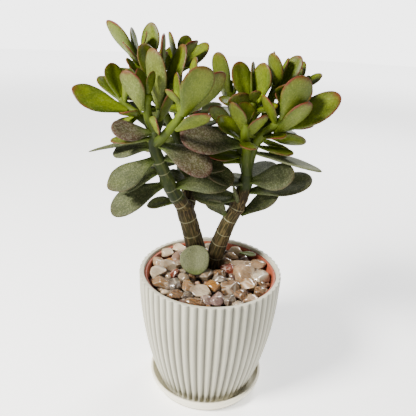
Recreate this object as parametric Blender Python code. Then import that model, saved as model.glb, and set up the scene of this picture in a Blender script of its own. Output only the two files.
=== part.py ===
"""Potted jade plant: a fluted pot on its saucer, a nursery pot, soil, gravel, stems and leaves.

Shapes are worked out in millimetres and written to the meshes in metres, +Z up.
The origin is the centre of the saucer's underside, and the front of the plant faces -Y.
"""

import math
from dataclasses import dataclass

import bmesh
import bpy
import numpy as np

METRES = 0.001
CLEARANCE = 0.3

# Fluted outer pot.
RIM_RADIUS = 70.0
POT_HEIGHT = 128.4
POT_WALL = 4.5
POT_FLOOR = 5.0
FOOT_RADIUS = 48.5
BELLY_POWER = 2.2
RIB_COUNT = 55
RIB_DEPTH = 1.3
POT_EDGE = 2.0

# Saucer.
SAUCER_FLOOR = 3.5
SAUCER_HEIGHT = 14.0
SAUCER_WALL = 3.0
SAUCER_ROOM = 3.0
SAUCER_FLARE = 4.2

# Nursery pot, its rolled rim, the soil and the gravel.
LINER_WALL = 1.2
LINER_RIM_WIDTH = 2.8
LINER_RIM_HEIGHT = 4.0
LINER_DROP = 1.2
LINER_ROOM = 1.2
SOIL_DROP = 28.0
GRAVEL_DROP = 10.0
GRAVEL_CROWN = 4.0
PEBBLE_SPACING = 12.5
PEBBLE_RISE = 3.0

# Stems and leaves.
STEM_GIRTH = 1.0
STEM_SIDES = 8
STEM_STEP = 13.0
LEAF_THICKNESS = 4.2
LEAF_SLENDER = 0.19
PETIOLE = 0.26
PETIOLE_RUN = 1.5
LEAF_WIDEST = 0.62
TIP_FULLNESS = 2.3
LEAF_STATIONS = (0.0, 0.22, 0.48, 0.76, 0.94)
LEAF_GAP = 0.8
SETTLE_ROUNDS = 120
SINGLE_GAIN = 0.3
JOINED_GAIN = 0.7
SINGLE_LIMIT = 7.0
JOINED_LIMIT = 28.0
OWN_STEM_REACH = 14.0
POST_STEP = 0.06

RIM_LEVEL = SAUCER_FLOOR + CLEARANCE + POT_HEIGHT


@dataclass(frozen=True)
class Stem:
    """A stem's route as (x, y, height above the rim), and its end radii."""

    route: tuple
    radii: tuple


@dataclass(frozen=True)
class Leaf:
    """A leaf: where it grows on its stem, where it points, its size, and how it turns and curves."""

    along: float
    heading: float
    rise: float
    length: float
    width: float
    roll: float = 0.0
    bend: float = 8.0


STEMS = {
    "left_trunk": Stem(((-3, 24, -44), (-6, 20, -17), (-15, 14, 13), (-22, 6, 44), (-27, 0, 64)), (11.0, 8.3)),
    "left_front_branch": Stem(
        ((-27, 0, 64), (-38, -8, 83), (-44, -14, 100), (-48, -18, 112), (-52, -20, 124), (-51, -22, 139)),
        (7.2, 4.8)),
    "left_rear_branch": Stem(
        ((-25, 3, 58), (-23, 12, 68), (-26, 20, 76), (-30, 28, 90), (-33, 34, 113), (-36, 38, 138)),
        (6.6, 4.6)),
    "right_trunk": Stem(
        ((3, 24, -44), (4, 20, -7), (6, 17, 11), (10, 14, 28), (17, 10, 50), (23, 8, 64), (28, 4, 86), (29, 1, 99)),
        (10.5, 5.4)),
    "far_left_shoot": Stem(((-52, -21, 134), (-58, -17, 145), (-67, -12, 151), (-76, -8, 156), (-82, -6, 162)),
                           (4.2, 2.8)),
    "near_left_shoot": Stem(((-51, -22, 139), (-56, -25, 150), (-57, -28, 161), (-56, -29, 170)),
                            (4.2, 2.8)),
    "mid_left_shoot": Stem(((-51, -20, 138), (-49, -14, 150), (-48, -8, 162), (-48, -4, 174)),
                           (4.0, 2.8)),
    "front_shoot": Stem(((-52, -20, 128), (-45, -30, 136), (-36, -40, 148), (-29, -46, 158), (-26, -48, 166)),
                        (4.4, 2.8)),
    "rear_left_shoot": Stem(((-33, 34, 113), (-48, 30, 143), (-62, 24, 168), (-70, 20, 186), (-72, 19, 196)),
                            (4.6, 2.8)),
    "rear_shoot": Stem(((-36, 38, 138), (-38, 42, 168), (-38, 42, 186), (-38, 42, 196)),
                       (4.6, 2.8)),
    "centre_shoot": Stem(((29, 1, 99), (27, -4, 114), (26, -10, 126), (23, -22, 136), (22, -30, 144), (22, -34, 151)),
                         (5.2, 2.8)),
    "mid_right_shoot": Stem(((27, -4, 114), (29, -2, 133), (30, -2, 150), (29, -2, 163)),
                            (4.2, 2.8)),
    "rear_mid_shoot": Stem(((28, 2, 100), (20, 10, 130), (14, 14, 153), (10, 16, 168), (9, 17, 178)),
                           (4.4, 2.8)),
    "right_shoot": Stem(((29, 1, 103), (33, -5, 126), (39, -10, 138), (47, -16, 147), (55, -20, 155), (58, -22, 162)),
                        (4.8, 2.8)),
    "rear_right_shoot": Stem(((34, -6, 128), (40, 2, 148), (45, 8, 164), (49, 10, 177), (50, 11, 186)),
                             (4.0, 2.8)),
    "far_right_shoot": Stem(((36, -8, 134), (50, 10, 153), (64, 22, 168), (76, 28, 177), (81, 30, 183)),
                            (4.0, 2.8)),
}

# Leaf columns: along the stem, heading from +X, rise, length, width, roll, bend (millimetres, degrees).
SINGLE_LEAVES = {
    "left_front_branch": (
        Leaf(9, 155, -15, 36, 20, -20, -5),
        Leaf(27, 355, 15, 58, 32, 35, 5),
        Leaf(33, 195, -25, 58, 31, -30, -10),
        Leaf(46, 165, -25, 49, 28, -38, -10),
        Leaf(57, 5, -10, 57, 30, 20, -10),
        Leaf(60, 200, -25, 50, 29, -32, -10),
        Leaf(69, 160, -10, 43, 26, -42, -5),
        Leaf(73, 338, -20, 54, 31, 20, -10),
        Leaf(78, 195, -5, 37, 20, 0, 0),
        Leaf(87, 205, 5, 38, 24, -25, 0),
    ),
    "far_left_shoot": (
        Leaf(25, 210, -25, 24, 22, -5, -10),
        Leaf(36, 195, 20, 47, 25, -40, 5),
    ),
    "near_left_shoot": (
        Leaf(24, 225, 55, 34, 22, 10),
    ),
    "mid_left_shoot": (
        Leaf(22, 245, 75, 49, 26, -15),
        Leaf(25, 5, 70, 51, 25, 30),
    ),
    "front_shoot": (
        Leaf(36, 330, 20, 34, 18, -25, 15),
        Leaf(43, 15, 50, 49, 26, -50),
        Leaf(52, 320, 60, 39, 26, -20),
    ),
    "rear_left_shoot": (
        Leaf(84, 50, 75, 38, 21, 10),
    ),
    "right_trunk": (
        Leaf(100, 205, 35, 33, 18, 45),
        Leaf(109, 350, 30, 45, 25, 25),
        Leaf(132, 355, 15, 63, 31, 20),
        Leaf(144, 335, 20, 46, 27, 45, 5),
    ),
    "centre_shoot": (
        Leaf(38, 195, 10, 57, 32, -35, 5),
        Leaf(49, 315, 55, 28, 19, -10),
        Leaf(55, 230, 65, 30, 19, -5),
    ),
    "mid_right_shoot": (
        Leaf(50, 20, 80, 34, 20, 25),
        Leaf(55, 150, 70, 36, 20, -25),
    ),
    "right_shoot": (
        Leaf(19, 355, -15, 64, 30, 5, -10),
        Leaf(29, 335, -5, 34, 19, 0, 0),
        Leaf(42, 5, -15, 38, 22, -45, -10),
        Leaf(49, 0, 25, 62, 30, 25),
        Leaf(52, 330, 38, 38, 22, -30),
        Leaf(66, 305, 62, 37, 27, -30),
    ),
    "rear_right_shoot": (
        Leaf(46, 350, 65, 38, 20, 45),
    ),
}
SHOOT_LEAVES = {
    "left_front_branch": (
        Leaf(36, 60, 0, 23, 16, 35, 0),
        Leaf(78, 160, -20, 67, 14, -5, -5),
    ),
    "left_rear_branch": (
        Leaf(38, 100, -10, 40, 21, 0, -8),
        Leaf(50, 20, 5, 42, 22, 0, -8),
        Leaf(52, 195, -10, 40, 22, 0, -8),
        Leaf(64, 110, 0, 44, 23, 0, -5),
        Leaf(80, 15, 15, 42, 22, 0, 0),
        Leaf(46, 335, 0, 44, 24, 20, -5),
        Leaf(61, 300, 5, 44, 25, 15, -5),
        Leaf(72, 345, 10, 46, 25, 30, 0),
        Leaf(74, 200, 0, 42, 24, -20, 0),
        Leaf(84, 190, 20, 38, 22, -20, 0),
    ),
    "far_left_shoot": (
        Leaf(18, 95, 0, 36, 21, 0, 0),
        Leaf(23, 240, 0, 24, 16, 30, -10),
        Leaf(40, 290, 80, 30, 20, -80),
        Leaf(41, 145, 30, 38, 21),
        Leaf(44, 120, 70, 33, 20, 15),
    ),
    "near_left_shoot": (
        Leaf(13, 300, -15, 22, 15, -80, -10),
        Leaf(30, 150, 70, 24, 18, 5),
        Leaf(32, 330, 75, 20, 12),
    ),
    "mid_left_shoot": (
        Leaf(8, 320, 55, 35, 19, 15),
        Leaf(30, 145, 70, 46, 23, -10),
        Leaf(37, 95, 75, 45, 22, 85),
    ),
    "front_shoot": (
        Leaf(46, 100, 80, 33, 17, -85),
        Leaf(54, 45, 60, 37, 20, -10),
        Leaf(54, 215, 70, 20, 12),
    ),
    "rear_left_shoot": (
        Leaf(40, 210, 5, 36, 22, -20, 0),
        Leaf(42, 20, 5, 38, 22, 20, 0),
        Leaf(52, 200, 0, 36, 21, 0, 0),
        Leaf(58, 60, 15, 40, 22, 0, 0),
        Leaf(68, 330, 25, 36, 22, 20, 5),
        Leaf(66, 130, 25, 40, 22, 0, 5),
        Leaf(75, 205, 40, 22, 16, -30, 0),
        Leaf(77, 340, 35, 30, 18),
        Leaf(80, 165, 15, 32, 20, 45, 5),
        Leaf(85, 235, 60, 32, 18, -25),
        Leaf(88, 180, 60, 42, 22, 20),
        Leaf(90, 110, 65, 36, 22, 30),
        Leaf(91, 20, 80, 24, 12),
    ),
    "rear_shoot": (
        Leaf(6, 345, 10, 42, 24, 20, 0),
        Leaf(20, 280, 25, 38, 23, 20, 5),
        Leaf(14, 195, 15, 40, 22, 0, 5),
        Leaf(16, 75, 20, 42, 23, 0, 5),
        Leaf(30, 335, 20, 40, 22, 0, 5),
        Leaf(32, 120, 35, 38, 21),
        Leaf(40, 215, 60, 29, 18, -50),
        Leaf(44, 15, 50, 38, 24, 25),
        Leaf(48, 155, 70, 32, 18, 60),
        Leaf(50, 315, 70, 31, 20, 10),
        Leaf(54, 80, 70, 26, 14, 40),
    ),
    "right_trunk": (
        Leaf(113, 245, 60, 27, 16, -45, 5),
        Leaf(112, 125, -5, 40, 23, 0, -5),
        Leaf(122, 175, 0, 46, 26, -25, 0),
        Leaf(129, 95, 5, 44, 24, 0, 0),
        Leaf(138, 205, 10, 42, 25, -30, 0),
        Leaf(141, 40, 5, 44, 24, 20, 0),
    ),
    "centre_shoot": (
        Leaf(42, 120, 20, 34, 20, 0, 5),
        Leaf(44, 280, -5, 22, 16, -10, 5),
        Leaf(54, 90, 75, 30, 20, 25),
        Leaf(60, 10, 75, 16, 10),
    ),
    "mid_right_shoot": (
        Leaf(26, 30, 15, 36, 22, 15, 0),
        Leaf(34, 110, 15, 38, 22, 0, 0),
        Leaf(42, 155, 20, 32, 18, 0, 5),
        Leaf(43, 320, 20, 22, 17, 0, 5),
        Leaf(47, 75, 55, 34, 20, 0, 5),
        Leaf(61, 85, 70, 35, 16, 80),
        Leaf(62, 270, 75, 16, 10),
    ),
    "rear_mid_shoot": (
        Leaf(10, 185, 5, 46, 26, -25, 0),
        Leaf(16, 240, 10, 42, 25, -20, 0),
        Leaf(20, 120, 5, 44, 24, 0, 0),
        Leaf(29, 195, 15, 38, 21, 30, 0),
        Leaf(31, 50, 10, 42, 22, 0, 0),
        Leaf(40, 165, 20, 32, 23, 60, 5),
        Leaf(44, 105, 20, 42, 22, 0, 5),
        Leaf(50, 300, 30, 34, 22, 10, 5),
        Leaf(57, 14, 44, 34, 20),
        Leaf(62, 130, 50, 30, 18, 60),
        Leaf(66, 52, 70, 30, 18, -45),
        Leaf(70, 210, 75, 39, 20, 15),
    ),
    "right_shoot": (
        Leaf(34, 45, -25, 34, 20, 20, -5),
        Leaf(36, 120, 0, 36, 21, 0, 0),
        Leaf(38, 320, 5, 26, 18, 5, 0),
        Leaf(54, 235, 55, 34, 18, -25),
        Leaf(60, 50, 65, 36, 22),
        Leaf(68, 160, 65, 20, 12),
    ),
    "rear_right_shoot": (
        Leaf(20, 20, 10, 38, 23, 20, 0),
        Leaf(30, 100, 25, 38, 21, 0, 5),
        Leaf(36, 150, 30, 28, 19, 0, 5),
        Leaf(44, 290, 50, 32, 20, 0, 5),
        Leaf(49, 65, 55, 37, 21, -60),
        Leaf(52, 215, 70, 38, 19, -20),
        Leaf(53, 120, 60, 32, 20, 45),
        Leaf(56, 20, 80, 24, 14),
    ),
    "far_right_shoot": (
        Leaf(22, 330, 0, 38, 23, 25, 0),
        Leaf(30, 350, 20, 36, 22, 25, 0),
        Leaf(36, 95, 10, 40, 21, 0, 5),
        Leaf(42, 300, 35, 34, 22, 10, 5),
        Leaf(46, 10, 10, 43, 24, 20, 5),
        Leaf(52, 110, 40, 32, 20),
        Leaf(58, 160, 70, 26, 14, 60),
        Leaf(61, 65, 50, 28, 18, -40),
        Leaf(64, 345, 45, 23, 18, 30),
    ),
}
LOOSE_LEAVES = {
    "round_loose_leaf": ((-13.6, -10, -3.0), (-15, -1, 25.0), 29.0, (0.0, -1.0, 0.3)),
    "small_loose_leaf": ((31, 37, -1.5), (49, 35.5, -2.5), 9.0, (0.0, -0.3, 1.0)),
}

FINISHES = {
    "pot": ((0.80, 0.79, 0.73), 0.55),
    "saucer": ((0.82, 0.80, 0.72), 0.50),
    "terracotta": ((0.55, 0.17, 0.08), 0.55),
    "soil": ((0.05, 0.035, 0.025), 0.95),
    "gravel": ((0.55, 0.47, 0.40), 0.35),
    "bark": ((0.16, 0.12, 0.07), 0.85),
    "green_stem": ((0.20, 0.30, 0.06), 0.50),
    "leaf": ((0.25, 0.33, 0.10), 0.45),
}


def clear_scene():
    for obj in list(bpy.data.objects):
        bpy.data.objects.remove(obj)


def material(slot):
    found = bpy.data.materials.get(slot)
    if found:
        return found
    colour, roughness = FINISHES[slot]
    made = bpy.data.materials.new(slot)
    made.use_nodes = True
    shader = made.node_tree.nodes["Principled BSDF"]
    shader.inputs["Base Color"].default_value = (*colour, 1.0)
    shader.inputs["Roughness"].default_value = roughness
    shader.inputs["Metallic"].default_value = 0.0
    return made


def add_object(name, mesh, slot):
    mesh.name = name
    obj = bpy.data.objects.new(name, mesh)
    bpy.context.scene.collection.objects.link(obj)
    obj.data.materials.clear()
    obj.data.materials.append(material(slot))
    return obj


def loft(rings, first=None, last=None):
    """Skins closed rings of points from the first ring up to the last, each end a fan to its point."""
    bm = bmesh.new()
    loops = [[bm.verts.new(point * METRES) for point in ring] for ring in rings]
    count = len(loops[0])
    for lower, upper in zip(loops, loops[1:]):
        for i in range(count):
            j = (i + 1) % count
            bm.faces.new((lower[i], lower[j], upper[j], upper[i]))
    for loop, point, flip in ((loops[0], first, True), (loops[-1], last, False)):
        centre = np.mean([vert.co for vert in loop], axis=0) if point is None else point * METRES
        pole = bm.verts.new(centre)
        for i in range(count):
            pair = (loop[i], loop[(i + 1) % count])
            bm.faces.new((*reversed(pair), pole) if flip else (*pair, pole))
    bmesh.ops.recalc_face_normals(bm, faces=bm.faces)
    mesh = bpy.data.meshes.new("loft")
    bm.to_mesh(mesh)
    bm.free()
    mesh.shade_smooth()
    return mesh


def combine(target, tools, operation):
    """Joins the tools to the target, or cuts them from it, and removes the tools."""
    for tool in tools:
        step = target.modifiers.new(operation, "BOOLEAN")
        step.operation = operation
        step.solver = "EXACT"
        step.object = tool
    bpy.context.view_layer.update()
    shape = target.evaluated_get(bpy.context.evaluated_depsgraph_get())
    mesh = bpy.data.meshes.new_from_object(shape)
    target.modifiers.clear()
    slot = target.data.materials[0].name
    target.data = mesh
    mesh.materials.clear()
    mesh.materials.append(material(slot))
    for tool in tools:
        bpy.data.objects.remove(tool)


def circle(radius, height, count):
    turns = np.arange(count) * 2.0 * math.pi / count
    return np.stack([radius * np.cos(turns), radius * np.sin(turns), np.full(count, float(height))], axis=1)


def turned(profile, count):
    """A solid of revolution from a closed run of (radius, height) between two points on the axis."""
    rings = [circle(radius, height, count) for radius, height in profile[1:-1]]
    ends = [np.array([0.0, 0.0, height]) for _, height in (profile[0], profile[-1])]
    return loft(rings, *ends)


# ---- Pot, saucer, liner, soil and gravel ----

def pot_bottom():
    return SAUCER_FLOOR + CLEARANCE


def pot_radius(height):
    share = min(max((height - pot_bottom()) / POT_HEIGHT, 0.0), 1.0)
    return FOOT_RADIUS + (RIM_RADIUS - FOOT_RADIUS) * (1.0 - (1.0 - share) ** BELLY_POWER)


def liner_level():
    return pot_bottom() + POT_FLOOR + CLEARANCE


def liner_top():
    return RIM_LEVEL - LINER_DROP


def liner_step():
    """The level where the nursery pot's wall widens to its rim."""
    return liner_top() - LINER_RIM_HEIGHT


def liner_outer(height):
    """The nursery pot's straight wall, between its foot and the rim that it hangs inside."""
    top = pot_radius(liner_step()) - POT_WALL - CLEARANCE - (LINER_RIM_WIDTH - LINER_WALL)
    foot = pot_radius(liner_level()) - POT_WALL - LINER_ROOM
    share = (height - liner_level()) / (liner_top() - liner_level())
    return foot + (top - foot) * share


def fill_radius(height):
    return liner_outer(height) - LINER_WALL - CLEARANCE


def build_saucer():
    lip = pot_radius(SAUCER_HEIGHT) + SAUCER_ROOM
    floor = pot_radius(SAUCER_FLOOR + CLEARANCE) + SAUCER_ROOM / 2
    outer = lip + SAUCER_WALL
    foot = outer - SAUCER_FLARE
    profile = [
        (0, 0), (foot - 1, 0), (foot, 1), (outer - 0.4, SAUCER_HEIGHT - 4), (outer, SAUCER_HEIGHT - 1.5),
        (outer - SAUCER_WALL / 2, SAUCER_HEIGHT), (lip, SAUCER_HEIGHT - 1.0), (floor, SAUCER_FLOOR + 1.5),
        (floor - 1.5, SAUCER_FLOOR), (0, SAUCER_FLOOR)]
    add_object("saucer", turned(profile, 48), "saucer")


def ribbed_ring(height, depth):
    """One ring of the fluted wall: a crest and a groove for each rib."""
    ring = circle(pot_radius(height), height, 2 * RIB_COUNT)
    ring[1::2, :2] *= 1.0 - depth / pot_radius(height)
    return ring


def build_outer_pot():
    bottom = pot_bottom()
    count = 2 * RIB_COUNT
    levels = (0.06, 0.3, 0.62)
    rings = [circle(FOOT_RADIUS - POT_EDGE, bottom, count), ribbed_ring(bottom + POT_EDGE, 0.0)]
    rings += [ribbed_ring(bottom + level * POT_HEIGHT, RIB_DEPTH) for level in levels]
    rings += [ribbed_ring(RIM_LEVEL - POT_EDGE, RIB_DEPTH), ribbed_ring(RIM_LEVEL, RIB_DEPTH / 3)]
    inner_levels = (RIM_LEVEL, liner_step(), bottom + POT_HEIGHT / 3, bottom + POT_FLOOR)
    rings += [circle(pot_radius(level) - POT_WALL, level, count) for level in inner_levels]
    ends = (np.array([0.0, 0.0, bottom]), np.array([0.0, 0.0, bottom + POT_FLOOR]))
    add_object("outer_pot", loft(rings, *ends), "pot")


def build_nursery_pot():
    top = liner_top()
    level = liner_level()
    step = liner_step()
    rim = pot_radius(step) - POT_WALL - CLEARANCE
    profile = [
        (0, level), (liner_outer(level) - 1, level), (liner_outer(level + 1), level + 1),
        (liner_outer(step), step), (rim - 0.3, step + 0.8), (rim, top - 0.8), (rim - 0.8, top),
        (rim - LINER_RIM_WIDTH + 0.6, top), (liner_outer(top) - LINER_WALL, top - 0.9),
        (liner_outer(level + LINER_WALL) - LINER_WALL, level + LINER_WALL), (0, level + LINER_WALL)]
    add_object("nursery_pot", turned(profile, 48), "terracotta")


def build_soil(trunks):
    bottom = liner_level() + LINER_WALL + CLEARANCE
    top = RIM_LEVEL - SOIL_DROP
    profile = [(0, bottom), (fill_radius(bottom), bottom), (fill_radius(top), top), (0, top)]
    soil = add_object("soil", turned(profile, 40), "soil")
    combine(soil, trunks(), "DIFFERENCE")


def pebble_centres():
    """Pebble places on a sunflower spiral, so that they fill the pot evenly."""
    count = int(1.15 * (fill_radius(RIM_LEVEL) / (PEBBLE_SPACING / 2)) ** 2)
    turn = math.pi * (3.0 - math.sqrt(5.0))
    reach = fill_radius(RIM_LEVEL)
    return [(reach * math.sqrt((k + 0.5) / count) * math.cos(k * turn),
             reach * math.sqrt((k + 0.5) / count) * math.sin(k * turn)) for k in range(count)]


def gravel_height(x, y):
    """The gravel's top: a low heap with a rounded bump for each pebble."""
    near = min(math.hypot(x - px, y - py) for px, py in pebble_centres())
    bump = PEBBLE_RISE * max(0.0, 1.0 - (near / (PEBBLE_SPACING / 2)) ** 2)
    heap = GRAVEL_CROWN * max(0.0, 1.0 - (math.hypot(x, y) / fill_radius(RIM_LEVEL)) ** 2)
    return RIM_LEVEL - GRAVEL_DROP + heap + bump


def build_gravel(trunks):
    bottom = RIM_LEVEL - SOIL_DROP + CLEARANCE
    edge = RIM_LEVEL - GRAVEL_DROP
    count = 32
    rings = [circle(fill_radius(bottom), bottom, count), circle(fill_radius(edge) - 0.2, edge, count)]
    for share in (0.93, 0.84, 0.74, 0.64, 0.53, 0.41, 0.29, 0.15):
        ring = circle(share * fill_radius(edge), edge, count)
        for point in ring:
            point[2] = gravel_height(point[0], point[1])
        rings.append(ring)
    ends = (np.array([0.0, 0.0, bottom]), np.array([0.0, 0.0, gravel_height(0.0, 0.0)]))
    gravel = add_object("gravel", loft(rings, *ends), "gravel")
    combine(gravel, trunks(), "DIFFERENCE")


# ---- Stems ----

def unit(vector):
    return vector / np.linalg.norm(vector)


def smooth_route(stem):
    """The stem's centre line: a smooth curve through its route, with a point about every STEM_STEP."""
    points = np.array(stem.route, float) + (0.0, 0.0, RIM_LEVEL)
    points = np.vstack([2 * points[0] - points[1], points, 2 * points[-1] - points[-2]])
    line = []
    for a, b, c, d in zip(points, points[1:], points[2:], points[3:]):
        steps = max(1, round(float(np.linalg.norm(c - b)) / STEM_STEP))
        for t in np.arange(steps) / steps:
            line.append(0.5 * (2 * b + (c - a) * t + (2 * a - 5 * b + 4 * c - d) * t**2
                               + (3 * b - a - 3 * c + d) * t**3))
    return np.array([*line, points[-2]])


def stem_lengths(line):
    return np.concatenate([[0.0], np.cumsum(np.linalg.norm(np.diff(line, axis=0), axis=1))])


def stem_radius(stem, share):
    return STEM_GIRTH * (stem.radii[0] + (stem.radii[1] - stem.radii[0]) * share)


def stem_mesh(stem, growth=0.0):
    """A tapering round stem, made thicker all round by growth."""
    line = smooth_route(stem)
    shares = stem_lengths(line) / stem_lengths(line)[-1]
    side = unit(np.cross(line[1] - line[0], (0.0, 1.0, 0.0)))
    turns = np.arange(STEM_SIDES) * 2.0 * math.pi / STEM_SIDES
    rings = []
    for i, centre in enumerate(line):
        ahead = unit(line[min(i + 1, len(line) - 1)] - line[max(i - 1, 0)])
        side = unit(side - ahead * np.dot(side, ahead))
        radius = stem_radius(stem, shares[i]) + growth
        around = np.outer(np.cos(turns), side) + np.outer(np.sin(turns), np.cross(ahead, side))
        rings.append(centre + radius * around)
    ahead = unit(line[-1] - line[-2])
    return loft(rings, line[0] - unit(line[1] - line[0]) * growth,
                line[-1] + ahead * (0.5 * stem_radius(stem, 1.0) + growth))


def meets(first, second):
    """Whether two stems come near enough to touch."""
    gaps = smooth_route(first)[:, None, :] - smooth_route(second)[None, :, :]
    return np.linalg.norm(gaps, axis=2).min() < first.radii[0] + second.radii[0] + STEM_STEP


def swollen_stems(*names):
    """Copies of stems, thicker by the clearance, to cut what fits round them."""
    return [add_object(f"{name}_cutter", stem_mesh(STEMS[name], CLEARANCE), "bark") for name in names]


# ---- Leaves ----

def leaf_outline(t):
    """Half-width along a leaf as a share of the widest: a narrow petiole, a broad end and a round tip."""
    if t < LEAF_WIDEST:
        return PETIOLE + (1.0 - PETIOLE) * math.sin(0.5 * math.pi * (t / LEAF_WIDEST) ** PETIOLE_RUN)
    return max(0.0, 1.0 - ((t - LEAF_WIDEST) / (1.0 - LEAF_WIDEST)) ** TIP_FULLNESS) ** 0.5


class Blade:
    """A leaf in place, held by its base point and its along, across and up directions."""

    def __init__(self, base, tip, up, width, bend, stem="", joined=False):
        self.base = np.array(base, float)
        along = np.array(tip, float) - self.base
        self.length = float(np.linalg.norm(along))
        along = along / self.length
        up = unit(up - along * np.dot(up, along))
        self.turn = np.stack([along, np.cross(up, along), up], axis=1)
        self.home = along
        self.width = width
        self.thickness = min(LEAF_THICKNESS, LEAF_SLENDER * width)
        self.sag = math.radians(bend) * self.length / 2.0
        self.stem = stem
        self.joined = joined
        self.samples = self.sample_points()

    def spine(self, t):
        return np.array([t * self.length, 0.0, -self.sag * t * (1.0 - t)])

    def sample_points(self):
        points = []
        for t in np.linspace(0.22, 0.98, 8):
            half = 0.5 * self.width * leaf_outline(t)
            points += [self.spine(t) + (0.0, share * half, 0.0) for share in (-0.85, -0.43, 0.0, 0.43, 0.85)]
        return np.array(points)

    def world_samples(self):
        return self.base + self.samples @ self.turn.T

    def rotate(self, vector):
        """Turns the leaf about its base by a small rotation vector, within its limit."""
        angle = float(np.linalg.norm(vector))
        if angle < 1e-9:
            return
        x, y, z = vector / angle
        skew = np.array([[0, -z, y], [z, 0, -x], [-y, x, 0]])
        spin = np.eye(3) + math.sin(angle) * skew + (1.0 - math.cos(angle)) * skew @ skew
        limit = JOINED_LIMIT if self.joined else SINGLE_LIMIT
        if np.dot(spin @ self.turn[:, 0], self.home) > math.cos(math.radians(limit)):
            self.turn = spin @ self.turn

    def mesh(self, growth=0.0):
        """The leaf's closed skin, made larger all round by growth."""
        rings = []
        for t in LEAF_STATIONS:
            half = 0.5 * self.width * leaf_outline(t) + growth
            thick = self.thickness * (0.75 + 0.25 * math.sin(math.pi * min(t * 1.3, 1.0))) + 2.0 * growth
            section = [(half, 0.05), (0.5 * half, 0.42), (-0.5 * half, 0.42),
                       (-half, 0.05), (-0.5 * half, -0.5), (0.5 * half, -0.5)]
            ring = [self.spine(t) + (0.0, across, rise * thick) for across, rise in section]
            rings.append(self.base + np.array(ring) @ self.turn.T)
        rings[0] -= growth * self.turn[:, 0]
        tip = self.base + self.turn @ (self.spine(1.0) + (growth, 0.0, 0.0))
        return loft(rings, last=tip)

    def near(self, points):
        own = np.vstack([self.base, self.world_samples()])
        gaps = own[:, None, :] - points[None, :, :]
        return np.linalg.norm(gaps, axis=2).min() < self.thickness + STEM_STEP


def grow(stem_name, leaf, joined):
    """Places a leaf on its stem: joined leaves start on the stem's centre line, the others at its surface."""
    stem = STEMS[stem_name]
    line = smooth_route(stem)
    lengths = stem_lengths(line)
    along = min(leaf.along, lengths[-1])
    centre = np.array([np.interp(along, lengths, line[:, axis]) for axis in range(3)])
    after = np.array([np.interp(min(along + 1.0, lengths[-1]), lengths, line[:, axis]) for axis in range(3)])
    before = np.array([np.interp(max(along - 1.0, 0.0), lengths, line[:, axis]) for axis in range(3)])
    stem_way = unit(after - before)
    heading, rise, roll = (math.radians(angle) for angle in (leaf.heading, leaf.rise, leaf.roll))
    way = np.array([math.cos(rise) * math.cos(heading), math.cos(rise) * math.sin(heading), math.sin(rise)])
    up = np.array([-math.sin(rise) * math.cos(heading), -math.sin(rise) * math.sin(heading), math.cos(rise)])
    up = up * math.cos(roll) + np.cross(way, up) * math.sin(roll)
    base = centre
    if not joined:
        outward = unit(way - stem_way * np.dot(way, stem_way))
        base = centre + outward * (stem_radius(stem, along / lengths[-1]) + CLEARANCE + 0.4 * LEAF_THICKNESS)
    return Blade(base, centre + way * leaf.length, up, leaf.width, leaf.bend, stem_name, joined)


def push(blade, points, others, reach):
    """The rotation that turns a leaf's points away from others that are nearer than reach."""
    gaps = points[:, None, :] - others[None, :, :]
    distances = np.linalg.norm(gaps, axis=2)
    close = distances < reach
    if not close.any():
        return np.zeros(3)
    depth = np.where(close, reach - distances, 0.0)
    shove = (gaps / np.maximum(distances, 1e-6)[:, :, None] * depth[:, :, None]).sum(axis=1)
    arm = points - blade.base
    turn = np.cross(arm, shove) / np.maximum((arm**2).sum(axis=1), 1.0)[:, None]
    return turn.sum(axis=0) / close.sum()


def settle(blades):
    """Turns crowded leaves about their bases until they clear each other and the stems."""
    posts = {}
    for name, stem in STEMS.items():
        line = smooth_route(stem)
        shares = stem_lengths(line) / stem_lengths(line)[-1]
        for share in np.arange(0.0, 1.01, POST_STEP):
            point = np.array([np.interp(share, shares, line[:, axis]) for axis in range(3)])
            posts.setdefault(name, []).append((point, stem_radius(stem, share)))
    for _ in range(SETTLE_ROUNDS):
        points = [blade.world_samples() for blade in blades]
        middles = [cloud.mean(axis=0) for cloud in points]
        sizes = [float(np.linalg.norm(cloud - middle, axis=1).max()) for cloud, middle in zip(points, middles)]
        turns = [np.zeros(3) for _ in blades]
        for i, blade in enumerate(blades):
            for j in range(i + 1, len(blades)):
                reach = 0.5 * (blade.thickness + blades[j].thickness) + LEAF_GAP
                if np.linalg.norm(middles[i] - middles[j]) > sizes[i] + sizes[j] + reach:
                    continue
                turns[i] += push(blade, points[i], points[j], reach)
                turns[j] += push(blades[j], points[j], points[i], reach)
            for name, beads in posts.items():
                for centre, radius in beads:
                    if np.linalg.norm(centre - middles[i]) > sizes[i] + radius + blade.thickness:
                        continue
                    if name == blade.stem and np.linalg.norm(centre - blade.base) < OWN_STEM_REACH:
                        continue
                    reach = radius + 0.5 * blade.thickness + LEAF_GAP
                    turns[i] += push(blade, points[i], centre[None, :], reach)
        if max(float(np.linalg.norm(turn)) for turn in turns) < 1e-4:
            break
        for blade, turn in zip(blades, turns):
            blade.rotate(turn * (JOINED_GAIN if blade.joined else SINGLE_GAIN))


def keep_main_part(obj):
    """Removes the scraps that a cut has parted from a body."""
    bm = bmesh.new()
    bm.from_mesh(obj.data)
    waiting = set(bm.verts)
    islands = []
    while waiting:
        island = {waiting.pop()}
        edge_verts = list(island)
        while edge_verts:
            vert = edge_verts.pop()
            fresh = {edge.other_vert(vert) for edge in vert.link_edges} & waiting
            waiting -= fresh
            island |= fresh
            edge_verts += fresh
        islands.append(island)
    islands.sort(key=len)
    bmesh.ops.delete(bm, geom=[vert for island in islands[:-1] for vert in island], context="VERTS")
    bm.to_mesh(obj.data)
    bm.free()


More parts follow.
